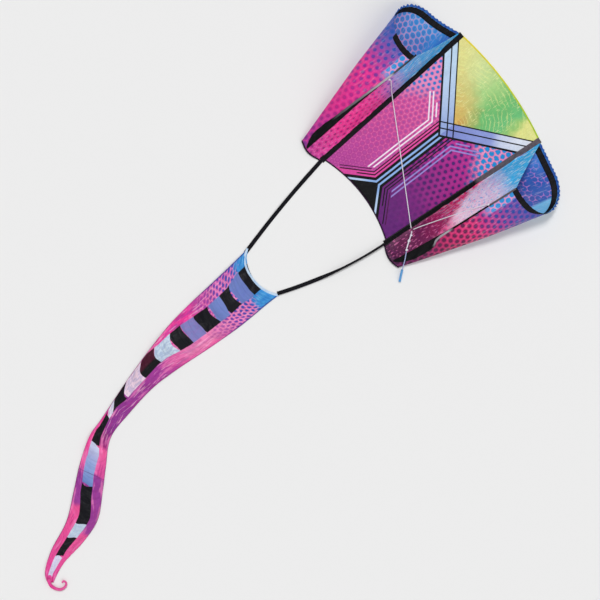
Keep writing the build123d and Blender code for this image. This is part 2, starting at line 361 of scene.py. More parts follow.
    def finish(self, weave=0.6, ripstop=5, crease=0.5, shade=0.12):
        """Weave, ripstop threads and fine creases, in height, gloss and shade."""
        threads = abs((self.x * (math.pi / weave)).sine()) * abs((self.y * (math.pi / weave)).sine())
        grid = ((self.x % ripstop) / ripstop - 0.5, (self.y % ripstop) / ripstop - 0.5)
        line = abs(grid[0]).more_of(abs(grid[1])).above(0.46, 0.03)
        creases = self.noise(26, 2.2, 4, 2)
        sharp = abs(self.noise(15, 1.5, 4, 21) - 0.5)
        rumple = creases + self.noise(7, 1.8, 3, 13) * 0.5 + sharp * 1.6
        self.relief(threads * 0.02 + line * 0.02 + rumple * crease, 0.004, 0.7)
        # Painted shade and light: the colour goes darker and lighter with the creases, and darker along their
        # sharp folds
        tone = creases * shade * 2 + (1 - shade) - line * 0.02 - sharp.below(0.03, 0.04) * shade * 0.5
        self.colour = self.mixed(1.0, self.colour, self.join(tone, tone, tone), "MULTIPLY")
        return self.done(self.noise(14, 1, 3, 9) * 0.2 + (self.roughness - 0.1) + line * 0.06)


def sail_print():
    """Fields of dots either side of a spine that forks into two arms at the nose and two at the rear."""
    cloth = Fabric("sail_print", gloss=0.14, sheen=0)
    x, y = cloth.x, cloth.y
    out = abs(x)
    right = x.above(0)
    back = y * (-1 / 560)
    lean = math.radians(40.3)
    front_node, rear_node = -210, -483
    along_arm = out * math.cos(lean) + (y - front_node) * math.sin(lean)
    off_arm = (y - front_node) * math.cos(lean) - out * math.sin(lean)
    off_rear = (out + y - rear_node) * math.sqrt(0.5)
    beside = out.less_of(off_rear)
    cloudy = back + (cloth.noise(120, seed=1) - 0.5) * 0.3

    left_field = cloth.ramp(
        cloudy, "0.1 e066ac, 0.3 dc549c, 0.5 d04e98, 0.75 bb4296, 1 aa3c92"
    )
    right_field = cloth.ramp(
        cloudy, "0.1 b43c98, 0.3 bc2c90, 0.5 a9258a, 0.72 82257f, 0.9 662376, 1 5e2272"
    )
    cloth.colour = cloth.mixed(right, left_field, right_field)
    near = (out * -1 / 200 + 1).clamped()
    dot = cloth.mixed(
        right,
        cloth.ramp(cloudy, "0.1 1f86d0, 0.24 4a68bc, 0.36 b0509e, 0.9 b8489c"),
        cloth.ramp(cloudy, "0.1 1f6cc0, 0.3 4a3590, 0.5 4a1f6c, 0.85 54206a"),
    )
    net = cloth.mixed(
        right,
        cloth.ramp(cloudy, "0.1 f0a0cc, 0.3 ea84ba, 0.6 dc66a8, 0.9 c858a4"),
        cloth.ramp(cloudy, "0.1 e884c4, 0.3 c44a9e, 0.5 b03090, 0.9 70287c"),
    )
    plain_rear = back.above(0.72, 0.12) * out.below(160, 60)
    cloth.dots(20.5, near * 0.1 + 0.2 + back * 0.04, dot, net, share=right.less_of(1 - plain_rear * 0.75))
    cloth.dots(17.5, near * 0.08 + 0.17 + back * 0.08, dot, net, share=1 - right)
    # Cyan dots in a pink net by the front arms, larger on the left and broken up on the right
    ragged = (cloth.noise(30, seed=12) - 0.5) * 40
    corner = (along_arm - out * 0.1 + ragged).above(96, 40) * off_arm.below(-20)
    turned_x, turned_y = cloth.turned(x, y, PRINT_TURN)
    warp = cloth.wander() + right * (cloth.noise(9, 1, 2, 15) - 0.5) * 16
    for half, pitch, size, net_tone, dot_tone in (
        (right, 20.5, 0.36, "f7a8d0", "1f94da"),
        (1 - right, 17.5, 0.28, "e894c4", "2a7cc8"),
    ):
        away = cloth.honeycomb(turned_x + warp, turned_y, pitch)
        cloth.paint(corner * half * away.above(size + 0.04, 0.1) * 0.85, net_tone)
        cloth.paint(corner * half * away.below(size, 0.08), dot_tone)

    # Thin pale lines that follow the spine and turn along the front arms
    line_colour = cloth.mixed(right, rgb("f4e4f4"), rgb("9a88d4"))
    turned = out.less_of(-off_arm)
    for low, high in ((45.5, 50), (57, 61.5)):
        band = turned.between(low, high) * along_arm.below(116) * off_rear.above(49)
        cloth.paint(band, line_colour)
    cloth.paint((-off_arm).between(34, 38.5) * along_arm.between(37, 82), line_colour)

    # Spine and rear arms, in mitred bands with the field between their black lines
    black = "08080c"
    cloth.paint(beside.between(-200, 37) * (1 - right) * 0.6, "f04aa4")
    on_spine = y.above(rear_node + 6, 8)
    for low, high, reach in ((14.8, 18.6, 400), (24.5, 28.5, 66), (33.5, 37, 111)):
        ends = out.below(reach, 2).more_of(on_spine)
        cloth.paint(beside.between(low, high) * ends, black)
    cloth.paint(off_rear.between(42.5, 45.5) * out.between(47, 118) * y.below(rear_node + 40), "4a1040")
    cloth.paint(beside.between(-200, 15.4), black)
    stripe = cloth.mixed(out.above(30, 20), rgb("8fb4ea"), rgb("b9d2f2"))
    cloth.paint(beside.between(3.6, 9.8), stripe)
    cloth.paint(off_rear.below(0), black)

    # Front arms, two pale bars each, and the bright field between them
    cloth.paint(off_arm.above(-26.5), black)
    bar = cloth.mixed(
        right,
        cloth.ramp(along_arm / 240, "0.05 98aee0, 0.35 b2c8ea, 0.9 c2daf0"),
        cloth.ramp(along_arm / 240, "0.1 8290d4, 0.6 92a0dc, 0.72 cdd6f0, 0.95 e6eaf6"),
    )
    for low, high in ((-20, -1), (3, 18.5)):
        cloth.paint(off_arm.between(low, high), bar)
    # Where the arms meet, each one's lines run on across the other
    off_left = (y - front_node) * math.cos(lean) + x * math.sin(lean)
    off_right = (y - front_node) * math.cos(lean) - x * math.sin(lean)
    met = off_left.between(-21, 24) * off_right.between(-21, 24)
    for low, high in ((-1, 3), (18.5, 22.5)):
        cloth.paint(met * off_left.between(low, high).more_of(off_right.between(low, high)), black)
    spread = x / 380 + 0.5 + (cloth.noise(60, seed=7) - 0.5) * 0.24
    meadow = cloth.ramp(
        spread, "0.05 e2e49a, 0.28 cfe09a, 0.48 a4d284, 0.6 72be70, 0.76 6cc07a, 0.84 a4cc74, 0.9 e4e48e"
    )
    bright = off_arm.above(22.5)
    cloth.paint(bright, meadow)
    from_node = (x * x + (y - front_node - 20) * (y - front_node - 20)).root()
    warm = ((from_node + x * 0.5 + (cloth.noise(25, seed=9) - 0.5) * 60) / 120).below(0.6, 0.9)
    cloth.paint(bright * warm * 0.9, "dca052")
    cloth.paint(bright * off_left.below(70, 60) * (1 - right) * 0.35, "e8d070")
    rings = (from_node / 2.1 + cloth.noise(40, seed=3) * 14).sine().above(0.72, 0.4)
    cloth.paint(bright * rings * cloth.noise(55, seed=21).above(0.5, 0.1) * 0.4, "e8ee9a")
    scratches = cloth.noise(2.4, 8, 2, 6).above(0.6, 0.06) * cloth.noise(45, seed=31).above(0.48, 0.12)
    cloth.paint(bright * scratches * 0.5, "f6f4b0")
    return cloth.finish()


def tube_print(
    name, base, dot, net, radius=0.27, near_seam=None, extra=None, dots_from=-1, net_width=0.47, pitch=21.5
):
    """A tube wall's print: colours that run along the tube, with dots in a net; x is measured round it.

    near_seam gives other colours for the side next to the seam, and extra paints what only that wall has.
    """
    cloth = Fabric(name)
    across = cloth.coordinates("place")[0]
    back = cloth.y / TUBE_END
    cloudy = back + (cloth.noise(70, seed=1) - 0.5) * 0.14
    cloth.colour = cloth.ramp(cloudy, base)
    share = back.above(dots_from, 0.08)
    dot_tone, net_tone = cloth.ramp(cloudy, dot), cloth.ramp(cloudy, net)
    cloth.dots(pitch, radius, dot_tone, net_tone, share=share, net_width=net_width)
    if near_seam:
        limit = cloth.ramp_share(back, *near_seam[0])
        seam_side = (limit - across + (cloth.noise(16, 3, 3, 5) - 0.5) * 0.3).above(0, 0.12)
        cloth.paint(seam_side, cloth.ramp(cloudy, near_seam[1]))
        flecks = seam_side * cloth.noise(6, 2.4, 2, 11).above(0.6, 0.06)
        cloth.paint(flecks * back.above(0.5, 0.2) * 0.8, near_seam[2])
    if extra:
        extra(cloth, across, back)
    streaks = cloth.noise(4, 9, 2, 5).above(0.62, 0.06)
    cloth.paint(streaks * back.below(0.62, 0.2) * 0.16, "ffe6f6")
    return cloth.finish()


def woven(name, colour, light, rib=1.3, roughness=0.7, later=None):
    """Tape with cross ribs and two rows of stitches near its edges, which may change past a length."""
    cloth = Fabric(name, roughness=roughness, sheen=0, gloss=0.1)
    cloth.colour = rgb(colour)
    ribs = abs((cloth.y * (math.pi / rib)).sine())
    cloth.paint(ribs * 0.12, light)
    cloth.paint(cloth.noise(0.8, 14, 4, 2).above(0.5, 0.2) * 0.35, light)
    if later:
        cloth.paint(cloth.y.above(later[0], 16), later[1])
    dash = (cloth.y % 3.2).between(0.6, 2.7, 0.3)
    stitch = (abs(abs(cloth.x) - 0.78)).below(0.06, 0.04) * dash
    cloth.paint(stitch * 0.4, light)
    fuzz = cloth.noise(3, 1, 3, 5)
    cloth.paint(fuzz.above(0.62, 0.1) * 0.08, light)
    cloth.relief(ribs * 0.4 + stitch * 0.9 + fuzz * 0.2, 0.0006, 0.6)
    return cloth.done(fuzz * 0.2 + (roughness - 0.1))


def plain_cloth(name, base, fleck, roughness=0.5, crease=0.5, gloss=0.12):
    """Cloth of one dye, uneven as dye is, with the ripstop's threads."""
    cloth = Fabric(name, roughness=roughness, sheen=0, gloss=gloss)
    cloth.colour = rgb(base)
    cloth.paint(cloth.noise(18, 1.5, 3, 2).above(0.55, 0.3) * 0.5, fleck)
    return cloth.finish(crease=crease)


def braid(name, colour, groove_shade):
    """Braided line: two sets of crossing strands, with painted shade in the grooves between them."""
    cloth = Fabric(name, roughness=0.55, sheen=0.3)
    cloth.colour = rgb(colour)
    first = (cloth.x * (2 * math.pi * 4) + cloth.y * 2.4).sine()
    second = (cloth.x * (2 * math.pi * 4) - cloth.y * 2.4).sine()
    strands = abs(first).more_of(abs(second))
    # Painted shade in the grooves between the strands
    cloth.paint(strands.below(0.75, 0.3) * 0.6, groove_shade)
    cloth.relief(strands, 0.0004)
    return cloth.done(cloth.noise(4, 1, 2, 3) * 0.2 + 0.45)


def binding_cloth():
    """Binding whose yellow turns lime from left to right."""
    cloth = Fabric("binding_cloth", roughness=0.5, sheen=0)
    cloth.colour = cloth.ramp(cloth.y / 430, "0.0 f0d820, 0.35 e4dc2c, 0.7 b8cc28, 1.0 a8c81c")
    stitch = (cloth.y % 3.2).between(0.5, 2.6, 0.3) * (abs(cloth.x) - 0.5).between(-0.08, 0.08, 0.05)
    cloth.paint(stitch * 0.4, "7c8c1c")
    return cloth.finish()


def keel_cloth(name, edge_highlight_tones):
    """Black cloth whose first part is paler along its free edge and over its front, partly a paler binding
    and partly painted highlight and sheen; x is the distance in from that edge.
    """
    cloth = Fabric(name, roughness=0.5, sheen=0, gloss=0.12)
    back = cloth.y / 600
    cloth.colour = rgb("0b0b0f")
    front = cloth.y.below(250, 8)
    edge = cloth.x.below(4.5 + cloth.noise(4, 6, 2, 3) * 3, 1.5)
    streak = cloth.noise(1.6, 10, 3, 7) * 0.5 + 0.6
    # Painted highlight along the free edge and painted sheen over the front part, partly a paler binding
    cloth.paint(edge.more_of(front).less_of(streak).clamped(), cloth.ramp(back, edge_highlight_tones))
    return cloth.finish(crease=0.9)


# Lengths along the tail of the centre column's blocks, from the mouth, and each one's colour
TAIL_BLOCKS = [
    (36, "14141a"), (46, "6f80c6"), (42, "14141a"), (44, "7384c8"), (55, "14141a"), (50, "857cbc"),
    (46, "14141a"), (69, "cfe0f0"), (68, "16141a"), (81, "f0d4e6"), (63, "14141a"), (29, "ece4f2"),
    (89, "14141a"), (130, "8ea4dc"), (121, "14141a"), (51, "c6d6e8"), (72, "14141a"), (67, "dcd4ec"),
]


def streamer_print():
    """Pink borders either side of a column of black and pale blocks, with blue corners at the mouth."""
    cloth = Fabric("streamer_print", sheen=0, gloss=0.12)
    # x goes from -1 to 1 across the column and on outside it, and y is along the tail
    x, y = cloth.x, cloth.y
    across, down = cloth.coordinates("place")
    out = abs(x)
    right = x.above(0, 0.02)
    cloudy = down + (cloth.noise(1.6, 30, 3, 1) - 0.5) * 0.02
    left_border = cloth.ramp(
        cloudy,
        "0.0 3f8fd8, 0.045 4f80cc, 0.06 c25cb2, 0.13 d25cac, 0.19 d84ca4, 0.22 f03c9c, 0.4 f04a9f, "
        "0.67 ec4c9c, 0.698 983c98, 0.775 a03f9a, 0.785 f0569c, 0.9 e8509a, 1.0 e0489a"
    )
    right_border = cloth.ramp(
        cloudy,
        "0.0 3f8fd8, 0.05 4a88d0, 0.065 d26cb4, 0.15 e26cb0, 0.2 ee5ca0, 0.31 e050a0, 0.36 a83e9a, "
        "0.55 88348e, 0.606 9c2c78, 0.615 f0609f, 0.686 dc509f, 0.692 983c98, 0.84 a2409a, "
        "0.85 ee5c9f, 0.92 ea549c, 1.0 e0489a"
    )
    cloth.colour = cloth.mixed(right, left_border, right_border)
    # Painted shade in the valleys and painted highlight on the ridges of lengthwise folds
    painted_fold_light = cloth.noise(0.32, 260, 3, 8)
    middle_part = down.between(0.14, 0.56, 0.08)
    cloth.paint(painted_fold_light.above(0.55, 0.08) * middle_part * 0.55, "a23c9a")
    cloth.paint(painted_fold_light.below(0.42, 0.08) * down.above(0.12, 0.1) * 0.5, "ff8cc8")
    cloth.paint(right * down.between(0.16, 0.3, 0.06) * (out.below(1.9, 0.4)) * 0.5, "f49ac8")
    # Painted highlight and shade along fine crinkles
    fine = cloth.noise(0.14, 420, 3, 14)
    cloth.paint(fine.above(0.6, 0.04) * down.between(0.05, 0.6, 0.1) * 0.5, "ffb8dc")
    cloth.paint(fine.below(0.38, 0.04) * down.above(0.05, 0.1) * 0.45, "a8307c")
    cloth.paint((1 - right) * down.between(0.34, 0.41, 0.03) * out.below(2.2, 0.5) * 0.8, "f08cbc")

    # Blue corners at the mouth, running into dots in a pink net
    side_mm = x * 36 + cloth.noise(0.6, 22, 2, 19) * 16
    away = cloth.honeycomb(*cloth.turned(side_mm, y, 12), 14)
    dotted = y.below(185, 90)
    cloth.paint(away.above(0.47, 0.1) * dotted * 0.8, "f29ccc")
    cloth.paint(away.below(0.3, 0.1) * dotted, cloth.ramp(y / 240, "0.0 1f78c8, 0.3 3454b4, 0.8 8a3a9c"))
    corner = (y - out * 20 + (cloth.noise(0.5, 20, 4, 6) - 0.5) * 90).below(22, 26)
    cloth.paint(corner, cloth.ramp(cloth.noise(0.4, 14, 3, 3), "0.3 2f7fd0, 0.6 4aa0e0, 0.75 78b8ea"))

    pale = cloth.noise(0.3, 60, 3, 14)
    start = 0
    for place, (length, colour) in enumerate(TAIL_BLOCKS):
        edge = y + ((x * 1.9 + start * 0.37).sine() * 4.5) * y.above(18, 20)
        on_block = out.below(1, 0.05) * edge.between(start, start + length, 1.0)
        shade = rgb(colour)
        if colour != "14141a":
            shade = cloth.mixed(pale.above(0.5, 0.1) * 0.35, shade, rgb("6c84c0" if place < 14 else "9ab4d8"))
        if place == 13:
            along = (edge - start) / length
            shade = cloth.ramp(along, "0.0 ccd4ee, 0.25 b0b4de, 0.5 94a8dc, 1.0 6c88c8")
        if place == 8:
            shade = cloth.mixed(x.below(0.1, 0.3), rgb("141418"), rgb("48142a"))
        cloth.paint(on_block, shade)
        start += length
    cloth.paint(down.between(0.6885, 0.69, 0.001) * 0.6, "5a2a6a")
    rim = (0.5 - abs(across - 0.5)).below(0.022, 0.012)
    cloth.paint(rim * 0.8, cloth.ramp(down, "0.0 2848a0, 0.14 5a2a8c, 0.2 d03c98, 0.5 8a2470, 1.0 8a2470"))
    return cloth.finish(crease=1.0, shade=0.2)


def floor_material():
    """A matt pale floor."""
    material = bpy.data.materials.new("floor_matt")
    material.use_nodes = True
    shader = material.node_tree.nodes["Principled BSDF"]
    shader.inputs["Base Color"].default_value = (0.85, 0.85, 0.85, 1)
    shader.inputs["Roughness"].default_value = 0.9
    shader.inputs["Specular IOR Level"].default_value = 0.1
    return material


# Mesh helpers -------------------------------------------------------------------------------------------


def seam_directions(side):
    """Unit vectors back along one side's seam and outward from it."""
    back = Vector((side * (REAR_HALF_SPAN - FRONT_HALF_SPAN), -CHORD, 0)).normalized()
    return back, Vector((-side * back.y, side * back.x, 0))


def beside_seam(side, back, out, up=0):
    """The point that lies back along a seam from its front end, outward from it and up from the floor."""
    along, outward = seam_directions(side)
    return Vector((side * FRONT_HALF_SPAN, NOSE_Y, 0)) + along * back + outward * out + UP * up


def from_nose(route):
    """A route whose Y is counted from the seams' front ends, in metres in the kite's own frame."""
    return [Vector((x, y + NOSE_Y, *rest)) * MM for x, y, *rest in route]


def steps(count):
    """Even shares from 0 to 1."""
    return [i / count for i in range(count + 1)]


def smooth_step(value):
    """0 below 0 and 1 above 1, with a smooth rise between."""
    value = min(max(value, 0), 1)
    return value * value * (3 - 2 * value)


def smooth_line(points, share):
    """The point at a share of the way through given points, on a smooth line through them."""
    place = min(share, 0.999999) * (len(points) - 1)
    first = int(place)
    t = place - first
    p0, p1, p2, p3 = (points[min(max(first + i, 0), len(points) - 1)] for i in (-1, 0, 1, 2))
    return [
        0.5 * (2 * b + (c - a) * t + (2 * a - 5 * b + 4 * c - d) * t**2 + (3 * b - a - 3 * c + d) * t**3)
        for a, b, c, d in zip(p0, p1, p2, p3)
    ]


def evenly(points, count, fine=400):
    """Points spaced evenly by length on the smooth line through given ones."""
    line = [Vector(smooth_line(points, share)) for share in steps(fine)]
    lengths = [0]
    for a, b in zip(line, line[1:]):
        lengths.append(lengths[-1] + (b - a).length)
    result, i = [], 0
    for share in steps(count):
        goal = share * lengths[-1]
        while i < fine - 1 and lengths[i + 1] < goal:
            i += 1
        t = (goal - lengths[i]) / max(lengths[i + 1] - lengths[i], 1e-9)
        result.append(line[i].lerp(line[i + 1], min(max(t, 0), 1)))
    return result


def make_piece(name, points, faces, prints, material):
    """A mesh object from points in millimetres, with its print coordinates."""
    mesh = bpy.data.meshes.new(name)
    mesh.from_pydata([Vector(p) * MM for p in points], [], faces)
    layer = mesh.uv_layers.new(name="print")
    for loop in mesh.loops:
        layer.data[loop.index].uv = prints[loop.vertex_index]
    mesh.materials.append(material)
    mesh.polygons.foreach_set("use_smooth", [True] * len(mesh.polygons))
    piece = bpy.data.objects.new(name, mesh)
    bpy.context.scene.collection.objects.link(piece)
    return piece


def grid(name, rows, material):
    """A sheet through rows of points, each given with its print coordinates."""
    wide, last = len(rows[0]), len(rows) - 1
    faces = [
        (r * wide + c, r * wide + c + 1, (r + 1) * wide + c + 1, (r + 1) * wide + c)
        for r in range(last)
        for c in range(wide - 1)
    ]
    points, prints = zip(*(cell for row in rows for cell in row))
    piece = make_piece(name, points, faces, prints, material)
    layer = piece.data.uv_layers.new(name="place")
    for loop in piece.data.loops:
        layer.data[loop.index].uv = (loop.vertex_index % wide / (wide - 1), loop.vertex_index // wide / last)
    return piece


def thicken(piece, thickness=0.4, smooth=1):
    """Gives a sheet its cloth's thickness."""
    if smooth:
        rounder = piece.modifiers.new("rounder", "SUBSURF")
        rounder.levels = smooth
        rounder.render_levels = smooth
    shell = piece.modifiers.new("shell", "SOLIDIFY")
    shell.thickness = thickness * MM
    shell.offset = 0
    return piece


def ring_faces(rings, around):
    """The faces between each ring of points and the next."""
    return [
        (i * around + k, i * around + n, (i + 1) * around + n, (i + 1) * around + k)
        for i in range(rings - 1)
        for k, n in ((k, (k + 1) % around) for k in range(around))
    ]


def strip(name, line, width, thickness, material, roll=None, ripple=0, crown=0.0):
    """A flat woven strip along a line of points, with rounded edges; its print goes from -1 to 1 across."""
    profile = []
    turns = 10
    for i in range(turns * 2):
        angle = math.pi * i / turns
        across = math.copysign(abs(math.cos(angle)) ** 0.45, math.cos(angle))
        over = math.copysign(abs(math.sin(angle)) ** 0.7, math.sin(angle))
        profile.append((across, over))
    points, prints, far = [], [], 0
    for i, point in enumerate(line):
        ahead = line[min(i + 1, len(line) - 1)] - line[max(i - 1, 0)]
        sideways = ahead.cross(UP).normalized()
        over = UP
        share = i / (len(line) - 1)
        if roll:
            turn = Matrix.Rotation(roll(share), 3, ahead.normalized())
            sideways, over = turn @ sideways, turn @ over
        if i:
            far += (point - line[i - 1]).length
        half = width(share) / 2 if callable(width) else width / 2
        wobble = ripple * noise.noise(Vector((far / 9, 3.3, 0)))
        for across, up in profile:
            lift = up * thickness / 2 + wobble * across + crown * (1 - across * across)
            points.append(point + sideways * half * across + over * lift)
            prints.append((across, far))
    faces = ring_faces(len(line), len(profile))
    ends = [tuple(range(len(profile))), tuple(reversed(range(len(points) - len(profile), len(points))))]
    return make_piece(name, points, faces + ends, prints, material)


def tube(name, path, radius, material, sides=14, relief=0.0, taper=None):
    """A round tube about points in metres, with braided relief; its print is turns and millimetres along."""
    points, prints, far = [], [], 0
    ahead = (path[1] - path[0]).normalized()
    sideways = ahead.orthogonal().normalized()
    for i, point in enumerate(path):
        ahead = (path[min(i + 1, len(path) - 1)] - path[max(i - 1, 0)]).normalized()
        sideways = (sideways - ahead * sideways.dot(ahead)).normalized()
        over = ahead.cross(sideways)
        if i:
            far += (point - path[i - 1]).length / MM
        share = i / (len(path) - 1)
        thick = radius * (taper(share) if taper else 1)
        for k in range(sides):
            angle = 2 * math.pi * k / sides
            weave = max(abs(math.sin(2 * angle + far * 1.2)), abs(math.sin(2 * angle - far * 1.2)))
            reach = thick * (1 - relief * (1 - weave))
            points.append(point / MM + (sideways * math.cos(angle) + over * math.sin(angle)) * reach)
            prints.append((k / sides, far))
    faces = ring_faces(len(path), sides)
    ends = [tuple(reversed(range(sides))), tuple(range(len(points) - sides, len(points)))]
    return make_piece(name, points, faces + ends, prints, material)


def cord_path(route):
    """Points read from the smooth curve whose control points are a cord's route."""
    curve = bpy.data.curves.new("route", "CURVE")
    curve.dimensions = "3D"
    spline = curve.splines.new("NURBS")
    spline.points.add(len(route) - 1)
    for point, place in zip(spline.points, route):
        point.co = (*place, 1)
    spline.order_u = 3
    spline.use_endpoint_u = True
    curve.resolution_u = 24
    holder = bpy.data.objects.new("route", curve)
    bpy.context.scene.collection.objects.link(holder)
    mesh = bpy.data.meshes.new_from_object(holder)
    path = [vertex.co.copy() for vertex in mesh.vertices]
    bpy.data.objects.remove(holder)
    bpy.data.meshes.remove(mesh)
    return path


def length_of(path):
    return sum((b - a).length for a, b in zip(path, path[1:]))


def settle(piece, body, slot, *nodes, seam_side=0):
    """A piece rides on a body, or beside a seam stays in the kite's own frame, and hides the CAD nodes it
    stands for; the slot is not used.
    """
    if seam_side:
        near, away = (
            beside_seam(seam_side, SEAM_MIDDLE, TAPE_HALF_WIDTH + far) * MM for far in (0, TURN_WIDTH)
        )
        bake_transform(piece)
    else:
        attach(piece, body)
    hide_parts(*nodes)
    return piece


# Camera and light ---------------------------------------------------------------------------------------

LEAN = math.radians(10)
HEADING = math.atan2(0.6065, 0.795)
AIM = Vector((0.141, 0.125, 0))
CAMERA_DISTANCE = 6.98

camera_data = bpy.data.cameras.new("camera")
camera_data.lens = 135
camera_data.sensor_width = 36
camera = bpy.data.objects.new("camera", camera_data)
bpy.context.scene.collection.objects.link(camera)
toward = Vector((-math.sin(LEAN), 0, math.cos(LEAN)))
upward = Vector((-math.cos(HEADING), math.sin(HEADING), 0))
upward = (upward - toward * upward.dot(toward)).normalized()
rightward = upward.cross(toward)
turned = Matrix((rightward, upward, toward)).transposed().to_4x4()
camera.matrix_world = Matrix.Translation(AIM + toward * CAMERA_DISTANCE) @ turned
bpy.context.scene.camera = camera
bpy.context.scene.view_settings.view_transform = "Standard"

world = bpy.data.worlds.new("studio")
bpy.context.scene.world = world
world.use_nodes = True
world.node_tree.nodes["Background"].inputs[0].default_value = (1, 1, 1, 1)
world.node_tree.nodes["Background"].inputs[1].default_value = 0.375

for name, direction, strength, softness in (
    ("key", (-0.5, 0.2, 1.0), 1.55, 14),
    ("fill", (0.75, -0.1, 0.7), 0.85, 65),
):
    sun_data = bpy.data.lights.new(name, "SUN")
    sun_data.energy = strength
    sun_data.angle = math.radians(softness)
    sun = bpy.data.objects.new(name, sun_data)
    bpy.context.scene.collection.objects.link(sun)
    sun.rotation_mode = "QUATERNION"
    sun.rotation_quaternion = Vector(direction).to_track_quat("Z", "Y")

floor_mesh = bpy.data.meshes.new("floor")
FLOOR_REACH = 60
corners = [(x * FLOOR_REACH, y * FLOOR_REACH, -0.0005) for x, y in ((-1, -1), (1, -1), (1, 1), (-1, 1))]
floor_mesh.from_pydata(corners, [], [(0, 1, 2, 3)])
floor_mesh.materials.append(floor_material())
floor = bpy.data.objects.new("floor", floor_mesh)
bpy.context.scene.collection.objects.link(floor)


# Cords --------------------------------------------------------------------------------------------------

white_braid = braid("white_braid", "f4f0fa", "c4bed2")
blue_braid = braid("blue_braid", "b4c0ee", "7f90d0")
sleeve_weave = braid("sleeve_weave", "62a8e4", "3a7cc4")


def make_cord(name, route, diameter, material):
    """A braided line along a route, and the points that it follows."""
    path = cord_path(from_nose(route))
    # The relief on the tube follows the path's own points, so long runs get points between
    fine = []
    for a, b in zip(path, path[1:]):
        count = max(1, math.ceil((b - a).length / (1.0 * MM)))
        fine += [a.lerp(b, i / count) for i in range(count)]
    fine.append(path[-1])
    return tube(name, fine, diameter / 2, material, relief=0.16), path


left_leg, left_path = make_cord("left_bridle_line", LEFT_LEG_ROUTE, LINE_DIAMETER, white_braid)
right_leg, right_path = make_cord("right_bridle_line", RIGHT_LEG_ROUTE, LINE_DIAMETER, white_braid)
loop, loop_path = make_cord("tow_loop_line", TOW_LOOP_ROUTE, TOW_LOOP_DIAMETER, white_braid)
leader, leader_path = make_cord("leader", LEADER_ROUTE, LEADER_DIAMETER, blue_braid)
sleeve = make_cord("leader_sleeve_weave", SLEEVE_ROUTE, SLEEVE_DIAMETER, sleeve_weave)[0]


def tied_knot(name, places, material):
    """Overhand knots: one closed strand each, crossing itself three times."""
    sides, length = 10, 60
    points, prints, faces = [], [], []
    for centre, radius in places:
        strand = radius * 0.36
        path = []
        for share in steps(length):
            t = 2 * math.pi * share
            loops = Vector(
                (
                    math.sin(t) + 2 * math.sin(2 * t),
                    math.cos(t) - 2 * math.cos(2 * t),
                    -math.sin(3 * t) * 1.3,
                )
            )
            path.append((centre + loops * (radius - strand) / 3) * MM)
        one = tube("knot_part", path, strand, material, sides=sides)
        start = len(points)
        points += [v.co / MM for v in one.data.vertices]
        prints += [(v.index % sides / sides, v.index // sides * 0.4) for v in one.data.vertices]
        faces += [tuple(start + i for i in p.vertices) for p in one.data.polygons]
        bpy.data.objects.remove(one)
    return make_piece(name, points, faces, prints, material)


knot_places = [(Vector((x, y + NOSE_Y, z)), radius) for x, y, z, radius in TOW_KNOTS]
tow_knots = tied_knot("tow_knots_tied", knot_places, white_braid)
settle(right_leg, "right_tube", "white_line", "bridle_right_leg")
settle(loop, "right_tube", "white_line", "tow_loop")
settle(tow_knots, "right_tube", "white_line", "tow_knots")
settle(leader, "right_tube", "blue_line", "leader_line")
settle(sleeve, "right_tube", "blue_line", "leader_sleeve")
for side_name, side in SIDES:
    places = [(beside_seam(side, *KEEL_KNOTS[side_name]), KEEL_KNOT_RADIUS)]
    knot = tied_knot(f"{side_name}_keel_knot_tied", places, white_braid)
    settle(knot, f"{side_name}_tube", "white_line", f"{side_name}_keel_knot")
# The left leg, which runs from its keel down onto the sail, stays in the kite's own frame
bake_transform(left_leg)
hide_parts("bridle_left_leg")

for cord, path, diameter, far_end, on_it in (
    (left_leg, left_path, LINE_DIAMETER, "object", {}),
    (right_leg, right_path, LINE_DIAMETER, "object", {}),
    (loop, loop_path, TOW_LOOP_DIAMETER, "knot", {"with_pieces": [tow_knots]}),
    (leader, leader_path, LEADER_DIAMETER, "fitting", {"with_pieces": [sleeve]}),
):
    length_of(path)
    diameter * MM


# Centre sail and its edges ------------------------------------------------------------------------------

SAIL_COLUMNS = 60
SAIL_ROWS = 84
SAIL_HEIGHT = 0.8
yellow_weave = binding_cloth()
dark_hem = plain_cloth("dark_hem_cloth", "241428", "4a2450")
black_tape = woven("black_tape_weave", "0c0c10", "26242a")
grey_tape = woven("grey_tape_weave", "544c54", "7c727a", later=(236, "0c0c10"))


def sail_point(across, down):
    """The sail's flat point at a share across, from -1 to 1, and down, from the nose to the rear."""
    bow = 1 - across * across
    front_half, rear_half = FRONT_HALF_SPAN + TAPE_HALF_WIDTH, REAR_HALF_SPAN + TAPE_HALF_WIDTH
    front = Vector((across * front_half, NOSE_Y - BINDING_WIDTH + NOSE_BULGE * bow, 0))
    rear = Vector((across * rear_half, NOSE_Y - CHORD + HEM_WIDTH + TRAILING_HOLLOW * bow, 0))
    return front.lerp(rear, down)


def cord_clearance(point):
    """0 beside the bridle's left leg, where it lies on the sail, and 1 away from it."""
    a, b = (Vector((x, y + NOSE_Y, 0)) for x, y, z in LEFT_LEG_ROUTE[4:6])
    run = b - a
    t = min(max((point - a).dot(run) / run.length_squared, 0), 1)
    return smooth_step(((point - a - run * t).length - 7) / 30)


